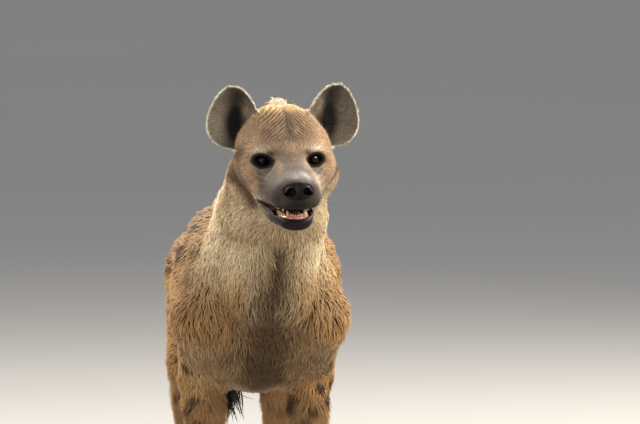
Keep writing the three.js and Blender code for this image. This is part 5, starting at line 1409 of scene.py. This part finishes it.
# ---------------------------------------------------------------- nose
c = from_head([0, -108, -54])
nv, nq = nets(nose_gap, c - [38, 34, 28], c + [38, 34, 28], 1.0, slack=2.4)
nt = tris_of(nq)
nv, nt = biggest_piece(nv, nt)
nv = settle(nose_gap, nv, 2, 0.6)
nv = even_out(nv, nt, 0.4)
nv = settle(nose_gap, nv, 1, 0.4)
nose = mesh_from("nose_pad", to_row(nv), nt)
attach(nose, "root")
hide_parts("nose")

# ---------------------------------------------------------------- teeth, gums, tongue
LOWER_TEETH = [  # across, along, root height, half-width, half-depth, height, outward lean
    [2.6, -91.0, -104, 2.3, 2.2, 6.0, 0], [7.2, -90.2, -104, 2.5, 2.3, 6.8, 0], [10.9, -87.6, -104, 2.4, 2.4, 7.2, 0],
    [15.2, -82.5, -104, 4.0, 4.4, 13.5, 0.6], [21.0, -69.0, -104, 3.2, 4.6, 6.5, 0], [23.0, -57.0, -104, 3.8, 6.0, 8.5, 0],
    [24.4, -42.0, -103, 4.2, 7.0, 9.5, 0], [25.4, -25.0, -102, 4.2, 8.0, 9.0, 0],
]
UPPER_TEETH = [
    [2.8, -92.5, -84, 2.5, 2.2, 4.0, 0], [8.2, -91.5, -84, 2.7, 2.4, 4.4, 0], [14.2, -87.5, -84, 3.4, 3.4, 5.8, 0],
    [22.4, -72.0, -84, 4.4, 5.0, 10.5, 0.4], [25.4, -58.0, -84, 3.4, 5.0, 6.0, 0], [27.0, -44.0, -84, 4.0, 6.6, 8.0, 0],
    [28.4, -27.0, -84, 4.4, 8.2, 8.6, 0],
]


def tooth_row(name, teeth, up):
    V, F, G, off = [], [], [], 0
    sides, rings = 16, 9
    for s in (1, -1):
        for k, (tx, ty, tz, w, d, h, lean) in enumerate(teeth):
            rows = []
            for i in range(rings):
                t = i / rings
                full = math.cos(t * math.pi / 2) ** (0.75 if h > 9 else 0.5)
                a = 2 * math.pi * np.arange(sides) / sides
                neck_in = 1 - 0.10 * math.exp(-((t - 0.12) / 0.12) ** 2)
                cx = s * (tx + lean * h * t * t * 0.25)
                cy = ty - 0.10 * h * t + 0.16 * h * t * t
                rows.append(
                    np.stack(
                        [cx + w * full * neck_in * np.cos(a), cy + d * full * neck_in * np.sin(a), tz + up * (-3.5 + (h + 3.5) * t) + 0 * a], 1
                    )
                )
            pts = np.concatenate(rows + [[[s * (tx + lean * h * 0.25), ty + 0.06 * h, tz + up * h]]])
            q = lattice(rings, sides)
            tip_at = len(pts) - 1
            k2 = np.arange(sides)
            cap = np.stack([(rings - 1) * sides + k2, (rings - 1) * sides + (k2 + 1) % sides, np.full(sides, tip_at)], 1)
            base = np.stack([np.zeros(sides - 2, int), k2[2:], k2[1:-1]], 1)
            V.append(pts)
            F.append((q + off, cap + off, base + off))
            G.append(np.clip((up * (pts[:, 2] - tz)) / h, 0, 1))
            off += len(pts)
    ob = mesh_from(name, to_row(from_head(np.concatenate(V))), [np.concatenate([f[0] for f in F]), np.concatenate([f[1] for f in F] + [f[2] for f in F])])
    bm = bmesh.new()
    bm.from_mesh(ob.data)
    bmesh.ops.recalc_face_normals(bm, faces=bm.faces[:])
    bm.to_mesh(ob.data)
    bm.free()
    add_number(ob.data, np.concatenate(G), "high")
    return ob


def gum_row(name, teeth, up, wide, high):
    """A moist ridge along the roots of the teeth, higher between them."""
    right = [(t[0], t[1], t[2]) for t in teeth]
    line = np.array([(-a, b, c) for a, b, c in right[::-1]] + right, float)
    dist = np.concatenate([[0], np.cumsum(np.linalg.norm(np.diff(line, axis=0), axis=1))])
    n, sides = 120, 14
    s = np.linspace(0, dist[-1], n)
    path = np.stack([np.interp(s, dist, line[:, k]) for k in range(3)], 1)
    for _ in range(6):
        path[1:-1] = 0.5 * path[1:-1] + 0.25 * (path[:-2] + path[2:])
    roots = np.concatenate([dist[: len(right)], dist[len(right) :]])
    near = np.abs(s[:, None] - roots[None]).min(1)
    lump = 0.9 * np.sin(np.clip(near / 4.0, 0, 1) * math.pi / 2)
    tang = np.gradient(path, axis=0)
    tang /= np.linalg.norm(tang, axis=1, keepdims=True)
    out = np.cross(tang, [0, 0, 1.0])
    out /= np.linalg.norm(out, axis=1, keepdims=True)
    a = 2 * math.pi * np.arange(sides) / sides
    taper = np.clip(np.minimum(np.arange(n), n - 1 - np.arange(n)) / 6, 0.05, 1) ** 0.5
    V = (
        path[:, None]
        + out[:, None] * (wide * taper[:, None] * np.cos(a))[..., None]
        + np.array([0, 0, 1.0]) * ((high + up * lump[:, None] * (np.sin(a) * up > 0)) * taper[:, None] * np.sin(a))[..., None]
    )
    V[..., 2] -= up * 2.0
    V = V.reshape(-1, 3)
    k = np.arange(1, sides - 1)
    ends = np.concatenate([np.stack([0 * k, k + 1, k], 1), (n - 1) * sides + np.stack([0 * k, k, k + 1], 1)])
    ob = mesh_from(name, to_row(from_head(V)), [lattice(n, sides), ends])
    bm = bmesh.new()
    bm.from_mesh(ob.data)
    bmesh.ops.recalc_face_normals(bm, faces=bm.faces[:])
    bm.to_mesh(ob.data)
    bm.free()
    return ob


teeth_low = tooth_row("teeth_lower", LOWER_TEETH, 1)
teeth_high = tooth_row("teeth_upper", UPPER_TEETH, -1)
gum_low = gum_row("gums_lower", LOWER_TEETH, 1, 4.6, 4.2)
gum_high = gum_row("gums_upper", UPPER_TEETH, -1, 4.8, 4.4)
for ob, node in ((teeth_low, "lower_teeth"), (gum_low, "lower_teeth"), (teeth_high, "upper_teeth"), (gum_high, "upper_teeth")):
    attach(ob, "root")
    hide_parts(node)

rows, cols = 41, 40
s = np.linspace(0, 1, rows)
a = 2 * math.pi * np.arange(cols) / cols
S, A = np.meshgrid(s, a, indexing="ij")
half = 17.5 * np.sin(np.clip(S, 0, 1) * math.pi) ** 0.42 * (0.82 + 0.18 * S)
tx = half * np.cos(A)
tz = 6.0 * np.sin(np.clip(S, 0, 1) * math.pi) ** 0.6 * np.sin(A)
tz = tz - 2.2 * np.exp(-((tx / 2.6) ** 2)) * (np.sin(A) > 0) * np.sin(S * math.pi) + 2.0 * (tx / 17) ** 2
V = np.stack([tx, -78 + 82 * S, -104 + tz + 3.0 * S], -1).reshape(-1, 3)
k = np.arange(1, cols - 1)
tongue = mesh_from("tongue_flesh", to_row(from_head(V)), [lattice(rows, cols), np.concatenate([np.stack([0 * k, k + 1, k], 1), (rows - 1) * cols + np.stack([0 * k, k, k + 1], 1)])])
bm = bmesh.new()
bm.from_mesh(tongue.data)
bmesh.ops.remove_doubles(bm, verts=bm.verts[:], dist=1e-6)
bmesh.ops.recalc_face_normals(bm, faces=bm.faces[:])
bm.to_mesh(tongue.data)
bm.free()
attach(tongue, "root")
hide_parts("tongue")

# ---------------------------------------------------------------- claws
CLAWS = []
for f in PAWS:
    name = ("front_" if f["front"] else "hind_") + ("left" if f["s"] > 0 else "right")
    V, F, G, off = [], [], [], 0
    for i in (-1.5, -0.5, 0.5, 1.5):
        size = f["size"]
        x0 = f["x"] + i * 18.5 * size
        y0 = f["y"] - (51 - abs(i) * 12 + 17) * size
        a0 = np.array([x0, y0 + 6, 15.5 * size])
        b0 = np.array([x0 + i * 0.8, y0 - 19 * size, 4.2])
        mid = (a0 + b0) / 2 + [0, -2.0, 4.6]
        rings, sides = 12, 16
        ang = 2 * math.pi * np.arange(sides) / sides
        for k in range(rings):
            t = k / rings
            c = a0 * (1 - t) ** 2 + mid * 2 * t * (1 - t) + b0 * t * t
            d = (mid - a0) * (1 - t) + (b0 - mid) * t
            d /= np.linalg.norm(d)
            u = np.cross([0, 0, 1.0], d)
            u /= np.linalg.norm(u)
            v = np.cross(d, u)
            rad = (5.2 * size) * (1 - t) ** 0.75 + 0.9 * t
            V.append(c + u * (0.66 * rad * np.cos(ang))[:, None] + v * (rad * np.sin(ang) * np.where(np.sin(ang) > 0, 1.0, 0.82))[:, None])
            G.append(np.full(sides, t))
        V.append(b0[None])
        G.append([1.0])
        k2 = np.arange(sides)
        last = off + (rings - 1) * sides
        F.append((lattice(rings, sides) + off, np.stack([last + k2, last + (k2 + 1) % sides, np.full(sides, last + sides)], 1), off + np.stack([np.zeros(sides - 2, int), k2[2:], k2[1:-1]], 1)))
        off += rings * sides + 1
    ob = mesh_from("claws_" + name, to_row(np.concatenate(V)), [np.concatenate([q[0] for q in F]), np.concatenate([q[1] for q in F] + [q[2] for q in F])])
    bm = bmesh.new()
    bm.from_mesh(ob.data)
    bmesh.ops.recalc_face_normals(bm, faces=bm.faces[:])
    bm.to_mesh(ob.data)
    bm.free()
    add_number(ob.data, np.concatenate(G), "high")
    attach(ob, "root")
    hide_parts(*["claw_%s_%d" % (name, i) for i in (1, 2, 3, 4)])
    CLAWS.append(ob)

# ---------------------------------------------------------------- whiskers
V, F, off = [], [], 0
sides, steps = 5, 9
roots = []
for s in (1, -1):
    for row, hz0 in enumerate((-54, -61, -68)):
        for q in range(4):
            roots.append((s, -96 + 11.0 * q + 3 * row, hz0 + rng.uniform(-1.5, 1.5), 22 + 7 * q + rng.uniform(-5, 7)))
    for q in range(2):
        roots.append((s, -8 - 3 * q, 22 + q, 15.0))
head_pts = np.nonzero((REG["head"] > 0.9) & (BARE < 0.4) & (HY < 10))[0]
for s, y0, z0, far in roots:
    side_pts = head_pts[(np.sign(HX[head_pts]) == s) & (np.abs(HX[head_pts]) > (38 if z0 > 0 else 16))]
    near = side_pts[np.argmin((HY[side_pts] - y0) ** 2 + (HZ[side_pts] - z0) ** 2)]
    p0 = np.array([HX[near], HY[near], HZ[near]])
    n0 = NORMAL[near] @ HEAD_TURN
    d0 = n0 * 0.8 + np.array([0.35 * s, 0.35, -0.25 if z0 < 0 else 0.3])
    d0 /= np.linalg.norm(d0)
    fall = np.array([0, 0.25, -0.5])
    for k in range(steps):
        t = k / (steps - 1)
        c = p0 - n0 * 0.6 + d0 * far * t + fall * far * 0.45 * t * t
        d = d0 + fall * 0.9 * t
        d /= np.linalg.norm(d)
        u = np.cross(d, [0, 0, 1.0])
        u /= np.linalg.norm(u)
        v = np.cross(d, u)
        rad = 0.22 * (1 - 0.86 * t)
        ang = 2 * math.pi * np.arange(sides) / sides
        V.append(from_head(c + u * (rad * np.cos(ang))[:, None] + v * (rad * np.sin(ang))[:, None]))
    k = np.arange(1, sides - 1)
    F.append((lattice(steps, sides) + off, np.concatenate([off + np.stack([0 * k, k + 1, k], 1), off + (steps - 1) * sides + np.stack([0 * k, k, k + 1], 1)])))
    off += steps * sides
whiskers = mesh_from("whiskers", to_row(np.concatenate(V)), [np.concatenate([q[0] for q in F]), np.concatenate([q[1] for q in F])])
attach(whiskers, "root")


# ---------------------------------------------------------------- finishes
def finish_of(name, **sockets):
    m = bpy.data.materials.new(name)
    m.use_nodes = True
    b = m.node_tree.nodes["Principled BSDF"]
    for k, v in sockets.items():
        b.inputs[k.replace("_", " ")].default_value = v
    return m, m.node_tree, b


def node(t, kind, **values):
    n = t.nodes.new(kind)
    for k, v in values.items():
        if k.startswith("in_"):
            n.inputs[k[3:].replace("_", " ")].default_value = v
        else:
            setattr(n, k, v)
    return n


def noise_node(t, scale, detail=3.0, rough=0.55, stretch=None):
    co = t.nodes.new("ShaderNodeTexCoord")
    out = co.outputs["Object"]
    if stretch:
        mp = t.nodes.new("ShaderNodeMapping")
        mp.inputs["Scale"].default_value = stretch
        t.links.new(out, mp.inputs["Vector"])
        out = mp.outputs["Vector"]
    n = node(t, "ShaderNodeTexNoise", in_Scale=scale, in_Detail=detail, in_Roughness=rough)
    t.links.new(out, n.inputs["Vector"])
    return n.outputs["Fac"]


def scaled(t, value, a, b, lo=0.0, hi=1.0):
    n = node(t, "ShaderNodeMapRange", in_From_Min=lo, in_From_Max=hi, in_To_Min=a, in_To_Max=b)
    t.links.new(value, n.inputs["Value"])
    return n.outputs["Result"]


def math_node(t, op, a, b):
    n = node(t, "ShaderNodeMath", operation=op)
    for k, v in ((0, a), (1, b)):
        if isinstance(v, (int, float)):
            n.inputs[k].default_value = v
        else:
            t.links.new(v, n.inputs[k])
    return n.outputs[0]


def mixed(t, fac, a, b, blend="MIX"):
    n = node(t, "ShaderNodeMix", data_type="RGBA", blend_type=blend)
    for k, v in (("Factor", fac), ("A", a), ("B", b)):
        s = [i for i in n.inputs if i.name == k and (i.type == "RGBA" or (k == "Factor" and i.type == "VALUE"))][0]
        if isinstance(v, (int, float)):
            s.default_value = v
        elif isinstance(v, (tuple, list, np.ndarray)):
            s.default_value = (*[float(q) for q in v], 1.0)
        else:
            t.links.new(v, s)
    return [o for o in n.outputs if o.type == "RGBA"][0]


def grey(t, value):
    n = node(t, "ShaderNodeCombineColor")
    for k in range(3):
        t.links.new(value, n.inputs[k])
    return n.outputs[0]


def bumped(t, b, height, strength, distance):
    n = node(t, "ShaderNodeBump", in_Strength=strength, in_Distance=distance)
    t.links.new(height, n.inputs["Height"])
    t.links.new(n.outputs["Normal"], b.inputs["Normal"])


def attribute(t, name, out="Color"):
    n = node(t, "ShaderNodeAttribute", attribute_name=name)
    return n.outputs[out]


# fur: the marking's colour, finely varied from hair to hair
fur, t, b = finish_of("fur", Roughness=0.62, Specular_IOR_Level=0.22, Sheen_Weight=0.04, Sheen_Roughness=0.4)
fine = scaled(t, noise_node(t, 420, 2), 0.74, 1.26, 0.3, 0.7)
wide_ = scaled(t, noise_node(t, 46, 2), 0.90, 1.10, 0.3, 0.7)
t.links.new(mixed(t, 1.0, attribute(t, "coat"), grey(t, math_node(t, "MULTIPLY", fine, wide_)), "MULTIPLY"), b.inputs["Base Color"])
for ob in PIECES:
    ob.data.materials.append(fur)

hide, t, b = finish_of("skin")
bare = attribute(t, "bare", "Fac")
fine = noise_node(t, 900, 3)
col = mixed(t, 1.0, attribute(t, "coat"), grey(t, scaled(t, fine, 0.78, 1.22, 0.3, 0.7)), "MULTIPLY")
t.links.new(col, b.inputs["Base Color"])
t.links.new(math_node(t, "ADD", 0.10, math_node(t, "MULTIPLY", attribute(t, "wet", "Fac"), 0.35)), b.inputs["Specular IOR Level"])
rough = math_node(t, "SUBTRACT", 0.80, math_node(t, "MULTIPLY", bare, 0.26))
rough = math_node(t, "SUBTRACT", rough, math_node(t, "MULTIPLY", attribute(t, "wet", "Fac"), 0.22))
rough = math_node(t, "ADD", rough, scaled(t, fine, -0.06, 0.06, 0.3, 0.7))
t.links.new(rough, b.inputs["Roughness"])
bumped(t, b, noise_node(t, 520, 4), 0.35, 0.0012)
skin.data.materials.append(hide)

pad, t, b = finish_of("nose_leather", Specular_IOR_Level=0.13)
v = node(t, "ShaderNodeTexVoronoi", in_Scale=760.0)
t.links.new(t.nodes.new("ShaderNodeTexCoord").outputs["Object"], v.inputs["Vector"])
n1 = noise_node(t, 130, 3)
t.links.new(mixed(t, scaled(t, n1, 0, 1, 0.3, 0.7), rgb(11, 9, 8), rgb(24, 21, 19)), b.inputs["Base Color"])
t.links.new(scaled(t, noise_node(t, 260, 2), 0.42, 0.6, 0.3, 0.7), b.inputs["Roughness"])
bumped(t, b, math_node(t, "MULTIPLY", v.outputs["Distance"], -1.0), 0.45, 0.0006)
nose.data.materials.append(pad)

eye, t, b = finish_of("eye", Roughness=0.08, Specular_IOR_Level=0.15, Coat_Weight=0.06, Coat_Roughness=0.02)
gaze_at = attribute(t, "gaze", "Fac")
spokes = node(t, "ShaderNodeCombineXYZ")
t.links.new(math_node(t, "MULTIPLY", attribute(t, "round_a", "Fac"), 9.0), spokes.inputs[0])
t.links.new(math_node(t, "MULTIPLY", attribute(t, "round_b", "Fac"), 9.0), spokes.inputs[1])
t.links.new(math_node(t, "MULTIPLY", gaze_at, 0.05), spokes.inputs[2])
fib = node(t, "ShaderNodeTexNoise", in_Scale=1.6, in_Detail=3.0)
t.links.new(spokes.outputs[0], fib.inputs["Vector"])
iris = mixed(t, scaled(t, fib.outputs["Fac"], 0, 1, 0.3, 0.7), rgb(16, 9, 5), rgb(38, 22, 12))
iris = mixed(t, scaled(t, gaze_at, 0, 1, 24, 36), iris, rgb(8, 6, 5))
col = mixed(t, scaled(t, gaze_at, 0, 1, 13.0, 16.0), rgb(3, 3, 3), iris)
white = mixed(t, scaled(t, noise_node(t, 300, 2), 0, 1, 0.3, 0.7), rgb(30, 21, 17), rgb(52, 38, 31))
col = mixed(t, scaled(t, gaze_at, 0, 1, 42.0, 50.0), col, white)
t.links.new(col, b.inputs["Base Color"])
for ob in (eye_left, eye_right):
    ob.data.materials.append(eye)

ivory, t, b = finish_of("tooth", Specular_IOR_Level=0.5, Coat_Weight=0.3, Coat_Roughness=0.1)
high = attribute(t, "high", "Fac")
col = mixed(t, scaled(t, high, 0, 1, 0.0, 0.65), rgb(160, 118, 62), rgb(216, 190, 138))
col = mixed(t, 1.0, col, grey(t, scaled(t, noise_node(t, 500, 3, 0.6, (1, 1, 0.3)), 0.82, 1.12, 0.3, 0.7)), "MULTIPLY")
t.links.new(col, b.inputs["Base Color"])
t.links.new(scaled(t, noise_node(t, 700, 2), 0.2, 0.34, 0.3, 0.7), b.inputs["Roughness"])
for ob in (teeth_low, teeth_high):
    ob.data.materials.append(ivory)

gum, t, b = finish_of("gum", Specular_IOR_Level=0.5, Coat_Weight=0.5, Coat_Roughness=0.12)
n1 = noise_node(t, 110, 3)
t.links.new(mixed(t, scaled(t, n1, 0, 1, 0.42, 0.62), rgb(204, 124, 112), rgb(120, 66, 58)), b.inputs["Base Color"])
t.links.new(scaled(t, noise_node(t, 400, 2), 0.22, 0.4, 0.3, 0.7), b.inputs["Roughness"])
bumped(t, b, noise_node(t, 600, 2), 0.25, 0.0004)
for ob in (gum_low, gum_high):
    ob.data.materials.append(gum)

lick, t, b = finish_of("tongue", Specular_IOR_Level=0.5, Coat_Weight=0.4, Coat_Roughness=0.2)
n1 = noise_node(t, 160, 3)
t.links.new(mixed(t, scaled(t, n1, 0, 1, 0.3, 0.7), rgb(176, 96, 92), rgb(206, 128, 118)), b.inputs["Base Color"])
t.links.new(scaled(t, noise_node(t, 500, 2), 0.3, 0.5, 0.3, 0.7), b.inputs["Roughness"])
bumped(t, b, noise_node(t, 1300, 2), 0.5, 0.0005)
tongue.data.materials.append(lick)

horn, t, b = finish_of("horn", Specular_IOR_Level=0.5)
n1 = noise_node(t, 240, 3, 0.6, (3, 0.35, 3))
col = mixed(t, scaled(t, n1, 0, 1, 0.35, 0.65), rgb(40, 32, 27), rgb(84, 70, 58))
col = mixed(t, scaled(t, attribute(t, "high", "Fac"), 0.0, 0.6, 0.6, 1.0), col, rgb(138, 122, 100))
t.links.new(col, b.inputs["Base Color"])
t.links.new(scaled(t, n1, 0.32, 0.5, 0.3, 0.7), b.inputs["Roughness"])
bumped(t, b, n1, 0.3, 0.0005)
for ob in CLAWS:
    ob.data.materials.append(horn)

bristle, t, b = finish_of("bristle", Roughness=0.45)
t.links.new(mixed(t, scaled(t, noise_node(t, 60, 2), 0, 1, 0.3, 0.7), rgb(30, 24, 20), rgb(78, 64, 52)), b.inputs["Base Color"])
whiskers.data.materials.append(bristle)

# ---------------------------------------------------------------- floor, light, view
floor = mesh_from("floor", np.array([(-60, -60, 0), (60, -60, 0), (60, 60, 0), (-60, 60, 0)], float), np.array([[0, 1, 2, 3]]), smooth=False)
pale_, t, b = finish_of("pale_floor", Roughness=0.9, Specular_IOR_Level=0.1)
t.links.new(mixed(t, scaled(t, noise_node(t, 0.2, 2), 0, 1, 0.3, 0.7), rgb(160, 158, 155), rgb(164, 162, 159)), b.inputs["Base Color"])
floor.data.materials.append(pale_)

world = bpy.data.worlds.new("studio") if not bpy.data.worlds else bpy.data.worlds[0]
bpy.context.scene.world = world
world.use_nodes = True
bg = world.node_tree.nodes.get("Background") or world.node_tree.nodes.new("ShaderNodeBackground")
bg.inputs["Color"].default_value = (0.93, 0.95, 1.0, 1.0)
bg.inputs["Strength"].default_value = 0.60
bpy.context.scene.view_settings.view_transform = "Standard"


def lamp(name, at, aim, size, watts, colour=(1, 1, 1)):
    l = bpy.data.lights.new(name, "AREA")
    l.shape = "DISK"
    l.size = size
    l.energy = watts
    l.color = colour
    o = bpy.data.objects.new(name, l)
    o.location = at
    o.rotation_euler = (Vector(aim) - Vector(at)).to_track_quat("-Z", "Y").to_euler()
    bpy.context.scene.collection.objects.link(o)
    return o


lamp("key", (5.0, -2.3, 3.9), (0, -0.2, 0.7), 2.2, 425, (1.0, 0.96, 0.9))
lamp("fill", (-3.6, -4.4, 2.2), (0, -0.2, 0.7), 3.4, 96, (0.98, 0.98, 1.0))
lamp("rim_right", (2.8, 3.0, 3.6), (0, -0.3, 0.8), 1.2, 340, (1.0, 0.95, 0.84))
lamp("rim_left", (-3.0, 2.4, 3.4), (0, -0.3, 0.8), 1.2, 300, (1.0, 0.95, 0.86))

back = VIEW_BACK
right = np.cross([0, 0, 1.0], back)
right /= np.linalg.norm(right)
upward = np.cross(back, right)
eyes = to_row(HEAD_AT)
middle = eyes + right * (320 - EYES_AT_PIXEL[0]) * MM_PER_PIXEL * 0.001 - upward * (212 - EYES_AT_PIXEL[1]) * MM_PER_PIXEL * 0.001
cam = bpy.data.cameras.new("camera")
cam.sensor_width = 36.0
cam.lens = 36.0 * VIEW_FAR / (640 * MM_PER_PIXEL * 0.001)
cam.clip_end = 200.0
camera = bpy.data.objects.new("camera", cam)
camera.location = middle + back * VIEW_FAR
camera.rotation_euler = Vector(-back).to_track_quat("-Z", "Y").to_euler()
bpy.context.scene.collection.objects.link(camera)
bpy.context.scene.camera = camera
